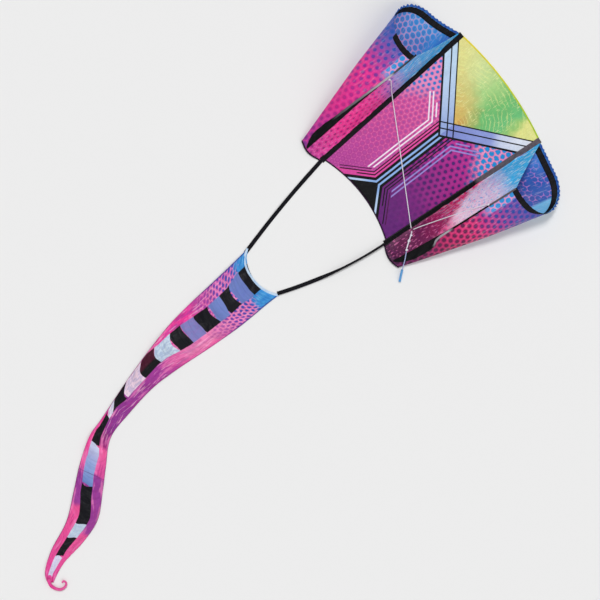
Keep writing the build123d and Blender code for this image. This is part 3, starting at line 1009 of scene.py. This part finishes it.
sail_rows = []
for down in steps(SAIL_ROWS):
    row = []
    for share in steps(SAIL_COLUMNS):
        across = 2 * share - 1
        flat = sail_point(across, down)
        edge = min(1, max(0, 0.905 - abs(across)) * 8) * min(1, down * 10, (1 - down) * 10)
        fold = noise.noise(Vector((flat.x / 85, flat.y / 62, 1.7)))
        fine = noise.noise(Vector((flat.x / 30 + flat.y / 55, flat.y / 34, 5.1)))
        lift = (2.6 + 2.2 * fold + 0.7 * fine) * edge * cord_clearance(flat)
        point = flat + UP * (SAIL_HEIGHT + max(lift, 0))
        row.append((point, (point.x, point.y - NOSE_Y)))
    sail_rows.append(row)
sail = grid("sail_cloth", sail_rows, sail_print())


def edge_line(down, offset, count=90):
    """The line along the sail's front or rear edge, moved back by an offset."""
    return [sail_point(2 * s - 1, down) + Vector((0, -offset, 1.1)) for s in steps(count)]


front_line = edge_line(0, -BINDING_WIDTH / 2)
binding = strip("nose_binding", front_line, BINDING_WIDTH + 1.6, 1.7, yellow_weave, ripple=0.25)
hem = strip("trailing_hem_fold", edge_line(1, HEM_WIDTH / 2 - 0.2), HEM_WIDTH, 1.3, dark_hem, ripple=0.3)
settle(sail, "sail", "sail_print", "centre_sail")
settle(binding, "sail", "yellow_binding", "leading_edge_binding")
settle(hem, "sail", "black_tape", "trailing_edge_hem")

for side_name, side in SIDES:
    line = [beside_seam(side, share * (CHORD + 7) - 3, 0, 1.95) for share in steps(200)]
    weave = black_tape if side < 0 else grey_tape
    tape = strip(f"{side_name}_tape", line, 2 * TAPE_HALF_WIDTH - 1, 0.7, weave, ripple=0.22)
    settle(tape, "sail", "black_tape", f"{side_name}_seam_tape")


# Tubes --------------------------------------------------------------------------------------------------

TUBE_ROWS = 78
START_OUT = 4.0
START_UP = 1.15
blue_ruffle = plain_cloth("blue_ruffle_cloth", "1f4ca4", "3f8fd8", crease=0.9, gloss=0.2)
black_cloth = plain_cloth("black_band_cloth", "0b0b0f", "1c1a22", roughness=0.5, crease=0.9)


def station_at(back):
    """The tube's width, height and ridge at a distance back along the seam."""
    for first in range(len(TUBE_STATIONS) - 2):
        if back < TUBE_STATIONS[first + 1][0]:
            break
    else:
        first = len(TUBE_STATIONS) - 2
    low, high = TUBE_STATIONS[first], TUBE_STATIONS[first + 1]
    t = min(max((back - low[0]) / (high[0] - low[0]), 0), 1)
    before = TUBE_STATIONS[max(first - 1, 0)]
    after = TUBE_STATIONS[min(first + 2, len(TUBE_STATIONS) - 1)]
    result = []
    for k in (1, 2, 3):
        step = high[0] - low[0]
        m0 = (high[k] - before[k]) / max(high[0] - before[0], 1) * step
        m1 = (after[k] - low[k]) / max(after[0] - low[0], 1) * step
        result.append(
            (2 * t**3 - 3 * t**2 + 1) * low[k]
            + (t**3 - 2 * t**2 + t) * m0
            + (3 * t**2 - 2 * t**3) * high[k]
            + (t**3 - t**2) * m1
        )
    return result


# The share of the inner wall that lies flat under the tape
TUCK = 0.08


def inner_profile(back, share):
    """The inner wall: flat under the tape, then up to the ridge, out and up."""
    height, ridge = station_at(back)[1:]
    if share < TUCK:
        return START_OUT + (SEAM_OUT - START_OUT) * share / TUCK, START_UP
    rise = (share - TUCK) / (1 - TUCK)
    crown = math.sin(math.pi * rise) * min(2.4, height * 0.03)
    out = SEAM_OUT + rise * (ridge - SEAM_OUT) - crown * 0.7
    return out, START_UP * (1 - rise) + rise * height + crown * 0.4


def outer_profile(back, share):
    """The rounded wall from the ridge over to the tube's side."""
    width, height, ridge = station_at(back)
    angle = share * math.pi / 2
    return ridge + (width - ridge) * math.sin(angle), height * (0.52 + 0.48 * math.cos(angle))


def back_profile(back, share):
    """The back, from the side round to the floor and flat in to the seam."""
    width, height = station_at(back)[:2]
    turned = 0.55
    low = 0.4
    if share < turned:
        angle = share / turned * math.pi / 2
        return width * (0.55 + 0.45 * math.cos(angle)), low + (0.52 * height - low) * (1 - math.sin(angle))
    flat = (share - turned) / (1 - turned)
    return 0.55 * width + (START_OUT - 0.55 * width) * flat, low


def inlet_back(side, profile, share, depth=0.0):
    """How far back the slanted inlet cuts a line of a wall, or the line that lies deeper in."""
    low, high = -12.0, 400.0
    slant = math.sqrt(1 + INLET_PER_OUT**2 + INLET_PER_UP**2)
    for halving in range(40):
        middle = (low + high) / 2
        out, up = profile(middle, share)
        slump = LEFT_SLUMP * math.sin(math.pi / 2 * min(max((out - 10) / 105, 0), 1)) if side < 0 else 0
        if middle < INLET_PER_OUT * out + INLET_PER_UP * up + slump + depth * slant:
            low = middle
        else:
            high = middle
    return (low + high) / 2


def rear_end(profile, share):
    """How far back a line of a wall ends: the rear ends are cut rounded."""
    out = profile(TUBE_END, share)[0]
    return TUBE_END + REAR_ROUNDING * math.sin(math.pi * min(max((out - 8) / 79, 0), 1))


def wall(name, side, profile, columns, material, start_depth=0.0):
    """One panel of a tube, from its inlet to its rear end; its print's x is measured round the tube."""
    starts = [inlet_back(side, profile, share, start_depth) for share in steps(columns)]
    ends = [rear_end(profile, share) for share in steps(columns)]
    rows = []
    for down in steps(TUBE_ROWS):
        row, round_it, before = [], 0, None
        for share, start, end in zip(steps(columns), starts, ends):
            back = start + (end - start) * down
            out, up = profile(back, share)
            if before:
                round_it += math.hypot(out - before[0], up - before[1])
            before = out, up
            row.append((beside_seam(side, back, out, up), (round_it, back)))
        rows.append(row)
    return grid(name, rows, material)


def border(columns, rows=TUBE_ROWS, hemmed=6):
    """Which points of a panel lie on its edge, or under the hem or band along its front."""
    wide = columns + 1
    return [
        r * wide + c
        for r in range(rows + 1)
        for c in range(wide)
        if r <= hemmed or r == rows or c in (0, columns)
    ]


def billow(jobs, frames=18, on_floor=False):
    """Runs cloth on panels held at their seams and cut a little full, and keeps the shapes they take."""
    scene = bpy.context.scene
    scene.frame_start, scene.frame_end = 1, frames
    if on_floor:
        floor.modifiers.new("Collision", "COLLISION")
        floor.collision.thickness_outer = 0.001
    for piece, held, swell in jobs:
        group = piece.vertex_groups.new(name="held")
        group.add(held, 1.0, "REPLACE")
        cloth = piece.modifiers.new("Cloth", "CLOTH")
        cloth.point_cache.frame_end = frames
        settings = cloth.settings
        settings.quality = 6
        settings.mass = 0.002
        settings.air_damping = 3
        settings.tension_stiffness = 20
        settings.compression_stiffness = 20
        settings.shear_stiffness = 6
        settings.bending_stiffness = 0.02
        settings.vertex_group_mass = "held"
        settings.shrink_min = -swell
        settings.effector_weights.gravity = 1 if on_floor else 0
        cloth.collision_settings.use_collision = on_floor
        cloth.collision_settings.distance_min = 0.001
    for number in range(1, frames + 1):
        scene.frame_set(number)
    shapes = []
    graph = bpy.context.evaluated_depsgraph_get()
    for piece, *rest in jobs:
        seen = piece.evaluated_get(graph)
        shapes.append([v.co.copy() for v in seen.data.vertices])
    for (piece, *rest), shape in zip(jobs, shapes):
        piece.modifiers.clear()
        for vertex, place in zip(piece.data.vertices, shape):
            vertex.co = (place.x, place.y, max(place.z, 0.0003))
    if on_floor:
        floor.modifiers.clear()
    scene.frame_set(1)


def left_mouth(cloth, across, back):
    """Plain blue near the nose's corner, and dots in a net toward the outer side."""
    inside = back.below(0.4, 0.1)
    cloth.paint(inside * (across + (cloth.noise(24, 1, 2, 5) - 0.5) * 0.2).above(0.8, 0.1), "3a90dc")
    cloth.paint(inside * across.above(0.9, 0.1), "2a64c0")


def right_mouth(cloth, across, back):
    """Deep blue with fragments of a pink net, and a light patch at the outer side."""
    inside = back.below(0.4, 0.1)
    cloth.paint(inside * cloth.noise(26, 1, 3, 21).above(0.52, 0.1), "2458b4")
    cloth.paint(inside * across.above(0.7, 0.2) * back.below(0.12, 0.06) * 0.7, "3f86d8")
    cloth.paint(inside * across.below(0.3, 0.04) * back.below(0.27, 0.02), "7cc4f0")


def inner_streaks(cloth, across, back, reach=0.6):
    """Pale streaks and blue flecks over the forward part of an inner wall."""
    forward = back.below(reach, 0.2)
    cloth.paint(forward * cloth.noise(5, 5, 3, 23).above(0.56, 0.06) * 0.55, "dceefa")
    cloth.paint(forward * cloth.noise(4, 2.5, 2, 29).above(0.6, 0.05) * 0.7, "38a8e4")
    cloth.paint(back.above(0.3, 0.1) * cloth.noise(5, 3, 2, 33).above(0.6, 0.06) * 0.5, "f07cb8")


def ridge_strip(cloth, across, back):
    """Cyan dots in a pink net in a strip beside the ridge and the inlet."""
    near = (cloth.x + (cloth.noise(30, 1, 2, 17) - 0.5) * 12).below(26, 5) * back.below(0.46, 0.06)
    x, y = cloth.turned(cloth.x, cloth.y, PRINT_TURN)
    away = cloth.honeycomb(x + cloth.wander(), y, 20)
    cloth.paint(near, "e498cc")
    cloth.paint(near * away.below(0.42, 0.1), "2f94dc")
    cloth.paint(back.below(0.36, 0.24) * (1 - near) * 0.5, "2c4ca8")


inner_prints = {
    "left": tube_print(
        "left_inner_print",
        "0.0 30b0f4, 0.36 40acf0, 0.43 a89ce4, 0.48 c070c8, 0.56 fa3098, 0.8 f83094, 1 c83894",
        "0.1 2b94dc, 0.38 4f70c8, 0.48 6a50b8, 0.6 c41c7c, 1 98287c",
        "0.1 74ccf4, 0.4 b8c4f0, 0.5 d878c8, 0.7 ff50a4, 1 d858ac",
        radius=0.2,
        dots_from=0.42,
        extra=lambda *place: inner_streaks(*place, reach=0.42),
    ),
    # The right inner wall's whitish middle is partly its print and partly a painted highlight
    "right": tube_print(
        "right_inner_print",
        "0.0 20b4f4, 0.24 3cb4f0, 0.36 dcc8ea, 0.6 f8d0e6, 0.68 e4508c, 0.78 9c2464, 1 64184c",
        "0.1 38b0ea, 0.35 a0b8e8, 0.6 e898c4, 0.72 8a2460, 1 601650",
        "0.1 a0dcf6, 0.5 fce0f0, 0.66 f080b4, 0.9 b83878",
        radius=0.24,
        dots_from=0.62,
        extra=inner_streaks,
        near_seam=(
            [(0.0, 0.0), (0.37, 0.0), (0.5, 0.3), (0.66, 0.75), (0.75, 1.0), (1.0, 1.0)],
            "0.3 f02c70, 0.55 dc246c, 0.66 a81c5c, 0.78 721850, 1 4c1442",
            "6a1a5a",
        ),
    ),
}
outer_prints = {
    "left": tube_print(
        "left_outer_print",
        "0.16 3f7fc8, 0.28 4f66b8, 0.38 a84cac, 0.5 e42c94, 0.75 e22a8c, 0.9 b8389a, 1 8f3894",
        "0.2 2468c0, 0.36 2c4cb0, 0.5 8c3098, 0.7 c02484, 1 7c2a86",
        "0.15 9088cc, 0.3 7458b4, 0.42 c43c9c, 0.5 ee3c96, 1 d23c98",
        extra=ridge_strip,
    ),
    "right": tube_print(
        "right_outer_print",
        "0.18 6058b4, 0.3 8048a4, 0.42 b83490, 0.54 d82a74, 0.7 b82468, 0.82 861e5c, 1 5a1a54",
        "0.2 2450b4, 0.42 2c409c, 0.52 70246c, 0.62 6a184c, 1 3c1038",
        "0.2 7c60b8, 0.36 9850a8, 0.46 c448a0, 0.58 ec3c84, 0.7 d8306c, 0.9 842c64",
        radius=0.31,
        pitch=20,
        extra=ridge_strip,
    ),
}
back_prints = {
    "left": tube_print(
        "left_back_print",
        "0.0 3aa0e6, 0.3 3f98e0, 0.5 a070c8, 0.75 e050a0, 1 b83c94",
        "0.1 2f8ad8, 0.5 7048a8, 0.9 8c2c84",
        "0.0 7fa8e4, 0.1 a8a0d8, 0.2 c090d0, 0.5 f08cc4, 0.9 e068ac",
        radius=0.34,
        net_width=0.43,
        pitch=19,
        extra=left_mouth,
    ),
    "right": tube_print(
        "right_back_print",
        "0.0 2a5cb8, 0.3 2f60ba, 0.5 8050b0, 0.75 d04094, 1 98307c",
        "0.1 2454b0, 0.5 5038a0, 0.9 702470",
        "0.0 a870c4, 0.2 b870c4, 0.5 e07cb8, 0.9 c058a0",
        radius=0.4,
        net_width=0.46,
        pitch=17.5,
        extra=right_mouth,
    ),
}

# Each panel's name, the line round the tube that it follows, its columns, prints, first depth and fullness
PANELS = {
    "inner": ("inner_wall", inner_profile, 16, inner_prints, 0.0, 0.008),
    "outer": ("outer_wall", outer_profile, 30, outer_prints, 0.0, 0.006),
    "back": ("back_skin", back_profile, 36, back_prints, 4.0, None),
}
walls, jobs = {}, []
for side_name, side in SIDES:
    walls[side_name] = {}
    for key, (panel, profile, columns, prints, depth, swell) in PANELS.items():
        piece = wall(f"{side_name}_{panel}", side, profile, columns, prints[side_name], depth)
        walls[side_name][key] = piece
        if swell:
            jobs.append((piece, border(columns), swell))
billow(jobs)

for side_name, side in SIDES:
    for key, piece in walls[side_name].items():
        thicken(piece)
        node = f"{side_name}_tube_{PANELS[key][0]}"
        # The outer wall moves with its tube, and the two panels sewn to the seam stay in the kite's own frame
        turning = 0 if key == "outer" else side
        settle(piece, f"{side_name}_tube", f"tube_{key}_print", node, seam_side=turning)


# Inlet trims, keel flaps and rear hems ------------------------------------------------------------------


def rim_strip(
    name, side, profile, shares, depths, offset, material, ruffle=0.0, waves=60, body_rows=3, narrow_from=2
):
    """A strip that follows a wall near its inlet between two depths, held off the wall, with ruffles."""
    step = 0.004

    def cell(r, share):
        full = 1 - 0.75 * smooth_step((share - narrow_from) / 0.4)
        depth = depths[0] + (depths[1] - depths[0]) * r * full
        back = inlet_back(side, profile, share, depth)
        out, up = profile(back, share)
        a = Vector(profile(back, max(share - step, 0)))
        b = Vector(profile(back, min(share + step, 1)))
        along = (b - a).normalized()
        normal = Vector((along.y, -along.x))
        fade = min(1, share * 12, (1 - share) * 12)
        sway = noise.noise(Vector((share * 14, side, 0)))
        pleat = ruffle * (1 - r) * fade * math.sin(share * waves + 2 * sway)
        shift = -offset + pleat
        height = max(up - normal.y * shift, 0.3)
        return beside_seam(side, back - pleat * 0.5, out - normal.x * shift, height), (share * 300, depth)

    return grid(name, [[cell(r, share) for share in shares] for r in steps(body_rows)], material)


# The last share of each front lip that its black tape reaches
FRONT_BAND_REACH = {"left": 0.52, "right": 0.97}
for side_name, side in SIDES:
    body = f"{side_name}_tube"
    ruffle_name = f"{side_name}_inlet_ruffle"
    ruffle = rim_strip(
        ruffle_name, side, back_profile, steps(260), (-0.8, 4.6), -0.4, blue_ruffle, 3.2, 115, 4
    )
    thicken(ruffle, 0.5)
    settle(ruffle, body, "blue_hem", f"{side_name}_inlet_hem", seam_side=side)
    back_band = rim_strip(
        f"{side_name}_back_band", side, back_profile, steps(120), (4.4, 17.0), 1.3, black_cloth, 0.5, 70
    )
    thicken(back_band, 0.7)
    settle(back_band, body, "black_tape", f"{side_name}_inlet_back_band", seam_side=side)
    front_band = rim_strip(
        f"{side_name}_front_band", side, outer_profile, [s * FRONT_BAND_REACH[side_name] for s in steps(90)],
        (-0.8, 12.5), -1.0, black_cloth, 0.7, 60, narrow_from=0.45
    )
    thicken(front_band, 0.7)
    settle(front_band, body, "black_tape", f"{side_name}_inlet_front_band")


# Each flap's colours along its length: its paler front part and free edge are partly a paler binding and
# partly painted highlight and sheen
keel_cloths = {
    "left": keel_cloth(
        "left_keel_cloth",
        "0.26 2c2a30, 0.4 5a5860, 0.42 c8c4cc, 0.5 b8b4bc, 0.6 84828a, 0.76 4a484e, 0.79 0b0b0f",
    ),
    "right": keel_cloth(
        "right_keel_cloth",
        "0.26 645c64, 0.4 645c64, 0.425 0b0b0f, 0.63 0b0b0f, 0.66 b8b0ba, 0.75 9c98a0, 0.77 0b0b0f",
    ),
}


def keel(side_name, side, wall_piece):
    """A folded flap of black cloth that lies on the outer wall beside the ridge, with a few soft pleats."""
    tree = BVHTree.FromPolygons(
        [v.co / MM for v in wall_piece.data.vertices], [p.vertices for p in wall_piece.data.polygons]
    )
    rows = []
    for back, free in evenly(KEEL_FREE_EDGES[side_name], 130):
        inboard = station_at(min(back, TUBE_END))[2] - 1.5
        wave = 0.9 * noise.noise(Vector((back / 13, 4.4, side)))
        row = []
        for share in steps(8):
            out = inboard + (free + wave - inboard) * share
            point = beside_seam(side, back, out)
            hit = tree.ray_cast(point + UP * 300, -UP)[0]
            up = hit.z if hit else outer_profile(back, 0)[1]
            pleat = 1.5 * share * (noise.noise(Vector((back / 22, share * 2, side * 3))) + 0.45)
            row.append((point + UP * (up + 1.0 + max(pleat, 0) * 1.6), (free - out, back)))
        rows.append(row)
    return grid(f"{side_name}_keel_fold", rows, keel_cloths[side_name])


def rear_gather(name, side):
    """The tube's rear end, gathered flat into a dark hem."""

    def cell(r, share):
        if share < 0.25:
            profile, place = inner_profile, share * 4
        elif share < 0.6:
            profile, place = outer_profile, (share - 0.25) / 0.35
        else:
            profile, place = back_profile, (share - 0.6) / 0.4
        out, up = profile(TUBE_END, place)
        squeeze = 1 - 0.35 * r * r
        pleat = 0.7 * r * math.sin(share * 130)
        up = max(0.4, (up - 4) * squeeze + 4 + pleat)
        return beside_seam(side, rear_end(profile, place) - 1 + 5 * r, out, up), (share * 160, r * 8)

    return grid(name, [[cell(r, share) for share in steps(90)] for r in steps(5)], dark_hem)


flaps = {}
for side_name, side in SIDES:
    body = f"{side_name}_tube"
    flap = flaps[side_name] = keel(side_name, side, walls[side_name]["outer"])
    thicken(flap, 0.8)
    settle(flap, body, "black_tape", f"{side_name}_keel_flap")
    gather = rear_gather(f"{side_name}_rear_gather", side)
    thicken(gather, 0.6)
    settle(gather, body, "black_tape", f"{side_name}_rear_hem")


# Tail ---------------------------------------------------------------------------------------------------

ribbon_weave = woven("black_ribbon_weave", "0a0a0e", "22202a", rib=1.0)
pale_weave = plain_cloth("pale_hem_cloth", "c6dcf2", "8fb4e4")

RIBBON_LOW, RIBBON_HIGH = box("right_tail_ribbon")
for side_name, side in SIDES:
    start = Vector((side * REAR_HALF_SPAN, RIBBON_HIGH.y, 0))
    end = Vector((side * (MOUTH_HALF_WIDTH - RIBBON_WIDTH / 2), RIBBON_LOW.y, 0))

    def roll(share):
        """How far a ribbon is turned on edge: the right one is twisted near the sail."""
        if side < 0:
            return 0.12 * math.sin(share * 9)
        return 1.1 - 0.75 * smooth_step((share - 0.4) / 0.35) + 0.06 * math.sin(share * 7)

    line = []
    for share in steps(150):
        point = start.lerp(end, share * 1.012)
        lift = 0.7 + abs(math.sin(roll(share))) * RIBBON_WIDTH / 2
        bow = RIBBON_BOWS[side_name] * 4 * share * (1 - share) * side
        line.append(point + Vector((bow, 0, lift)))
    ribbon = strip(f"{side_name}_ribbon", line, RIBBON_WIDTH, 0.7, ribbon_weave, roll=roll, ripple=0.25)
    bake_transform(ribbon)
    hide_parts(f"{side_name}_tail_ribbon")

TAIL_ROWS, TAIL_COLUMNS = 340, 36


def mouth_bow(across):
    """How deep the hollow mouth is at a place across, as a share of its full depth."""
    return 1 - abs(across) ** 2.3


def horn_at(across):
    """How far the mouth's left corner stands forward."""
    return 13 * max(0, (-across - 0.76) / 0.24) ** 1.4


def mouth_point(across, offset=0.0):
    """A point of the tail's hollow mouth, from -1 to 1 across."""
    y = MOUTH_Y + horn_at(across) - MOUTH_HOLLOW * mouth_bow(across) - offset
    return Vector((across * MOUTH_HALF_WIDTH, y, 0))


# Half the column's width and its shift from the streamer's middle, at shares of the tail's length
COLUMN = [
    (0.0, 45, -6), (0.058, 43, -8), (0.096, 33, -5.5), (0.169, 31, -3), (0.258, 33, -9.5), (0.32, 25, -15),
    (0.355, 24, -22), (0.42, 24, -21), (0.48, 15, -19), (0.508, 8.5, -19.5), (0.547, 8, -13),
    (0.597, 11, -7), (0.635, 17, -4.5), (0.69, 16, -8.5), (0.745, 17, -8.5), (0.8, 17, 0), (0.847, 14, -3),
    (0.89, 10, -1.5), (0.95, 8.5, 1), (1.0, 4, -4),
]

# Ridges that the streamer's cloth has folded up into: where across, from and to where along, and their wander
TAIL_FOLDS = [
    (-0.66, 0.05, 0.3, 0.07), (0.68, 0.1, 0.36, 0.08), (0.5, 0.24, 0.5, 0.1), (-0.8, 0.52, 0.7, 0.06),
    (0.72, 0.5, 0.66, 0.06), (-0.7, 0.7, 0.95, 0.08), (0.75, 0.78, 0.95, 0.08),
]


def column_at(share):
    """The column's half-width and shift at a share of the tail's length."""
    for low, high in zip(COLUMN, COLUMN[1:]):
        if share <= high[0]:
            break
    t = min(max((share - low[0]) / (high[0] - low[0]), 0), 1)
    return low[1] + (high[1] - low[1]) * t, low[2] + (high[2] - low[2]) * t


left_edge = [mouth_point(-1, MOUTH_HEM).xy] + [Vector((x, y + NOSE_Y)) for x, y in TAIL_LEFT_EDGE]
right_edge = [mouth_point(1, MOUTH_HEM).xy] + [Vector((x, y + NOSE_Y)) for x, y in TAIL_RIGHT_EDGE]
left_line = evenly(left_edge, TAIL_ROWS)
right_line = evenly(right_edge, TAIL_ROWS)
tail_rows, far, before = [], 0.0, None
for i, (a, b) in enumerate(zip(left_line, right_line)):
    share = i / TAIL_ROWS
    middle = (a + b) / 2
    if before is not None:
        far += (middle - before).length
    before = middle
    hollow = MOUTH_HOLLOW * max(0, 1 - share * 9) ** 2
    width = (b - a).length
    half, shift = column_at(share)
    row = []
    for c in steps(TAIL_COLUMNS):
        across = 2 * c - 1
        horn = horn_at(across) * max(0, 1 - share * 16)
        flat = a.lerp(b, c) - Vector((0, hollow * mouth_bow(across) - horn))
        side_offset = across * width / 2
        u = (side_offset - shift) / half
        if abs(u) > 1:
            u = math.copysign(1 + (abs(u) - 1) * half / 40, u)
        edge = min(1, (1 - abs(across)) * 8)
        lengthwise = math.sin(across * 7.5 + 3.2 * math.sin(share * 9) + 1.3)
        slow = noise.noise(Vector((across * 2.1 + share * 5, share * 9, 2.2)))
        lift = 1.0 + (2.4 + 2.4 * lengthwise + 4.0 * slow) * min(1, share * 14)
        for fold, first, last, wander in TAIL_FOLDS:
            part = (share - first) / (last - first)
            if 0 < part < 1:
                off = abs(across - fold - wander * math.sin(part * 9)) / 0.11
                lift += 5.5 * math.sin(math.pi * part) * max(0, 1 - off)
        point = Vector((flat.x, flat.y, 0.6 + max(0, lift) * (0.35 + 0.65 * edge)))
        row.append((point, (u, far + (hollow - MOUTH_HOLLOW) * mouth_bow(across))))
    tail_rows.append(row)
streamer = grid("streamer_cloth", tail_rows, streamer_print())
billow([(streamer, border(TAIL_COLUMNS, TAIL_ROWS, 4), 0.03)], on_floor=True)
thicken(streamer, 0.4)
settle(streamer, "streamer", "streamer_print", "tail_streamer")

mouth_line = [mouth_point(2 * s - 1, MOUTH_HEM / 2) + UP * 1.9 for s in steps(80)]
mouth = strip("mouth_hem_fold", mouth_line, MOUTH_HEM, 1.5, pale_weave, ripple=0.35)
settle(mouth, "streamer", "pale_hem", "tail_mouth_hem")

pink_curl = plain_cloth("pink_curl_cloth", "e63c94", "f4a4d0", crease=0.8, gloss=0.25)
CURL_STEPS = 60
curl_line = evenly([(x, y + NOSE_Y, 0) for x, y in TIP_CURL], CURL_STEPS)


def curl_piece():
    """The streamer's tip, rolled up on itself into a small scroll that hooks round."""
    rows = []
    for i, point in enumerate(curl_line):
        ahead = (curl_line[min(i + 1, CURL_STEPS)] - curl_line[max(i - 1, 0)]).normalized()
        sideways = ahead.cross(UP)
        share = i / CURL_STEPS
        radius = TIP_RADIUS * (1.6 - 0.9 * share)
        row = []
        for c in steps(34):
            angle = c * math.pi * 3.4 + 0.8
            reach = radius * (1 - 0.62 * c) * (1 + 0.1 * noise.noise(Vector((share * 9, c * 4, 0))))
            place = point + sideways * reach * math.cos(angle) + UP * (radius + reach * math.sin(angle))
            row.append((place, (c * 50, share * 60)))
        rows.append(row)
    return grid("tip_scroll", rows, pink_curl)


tip = curl_piece()
thicken(tip, 0.4)
settle(tip, "streamer", "streamer_print", "tail_tip")
thicken(sail, 0.4)


# Sheets of cloth ----------------------------------------------------------------------------------------

# A flat panel's size, and how much of that rectangle its cloth fills
PANEL_CUTS = {"inner": (128, 480, 0.62), "outer": (170, 480, 0.6), "back": (330, 540, 0.62)}
FLAP_CUT = (0.03, 0.434)
STREAMER_CUT = (0.176, 1.18)
for made in walls.values():
    for key, (across, along, share) in PANEL_CUTS.items():
        flat = across * MM, along * MM
        area = flat[0] * flat[1] * share
for side_name, flap in flaps.items():
    area = FLAP_CUT[0] * FLAP_CUT[1] * 0.4
area = STREAMER_CUT[0] * STREAMER_CUT[1] * 0.56
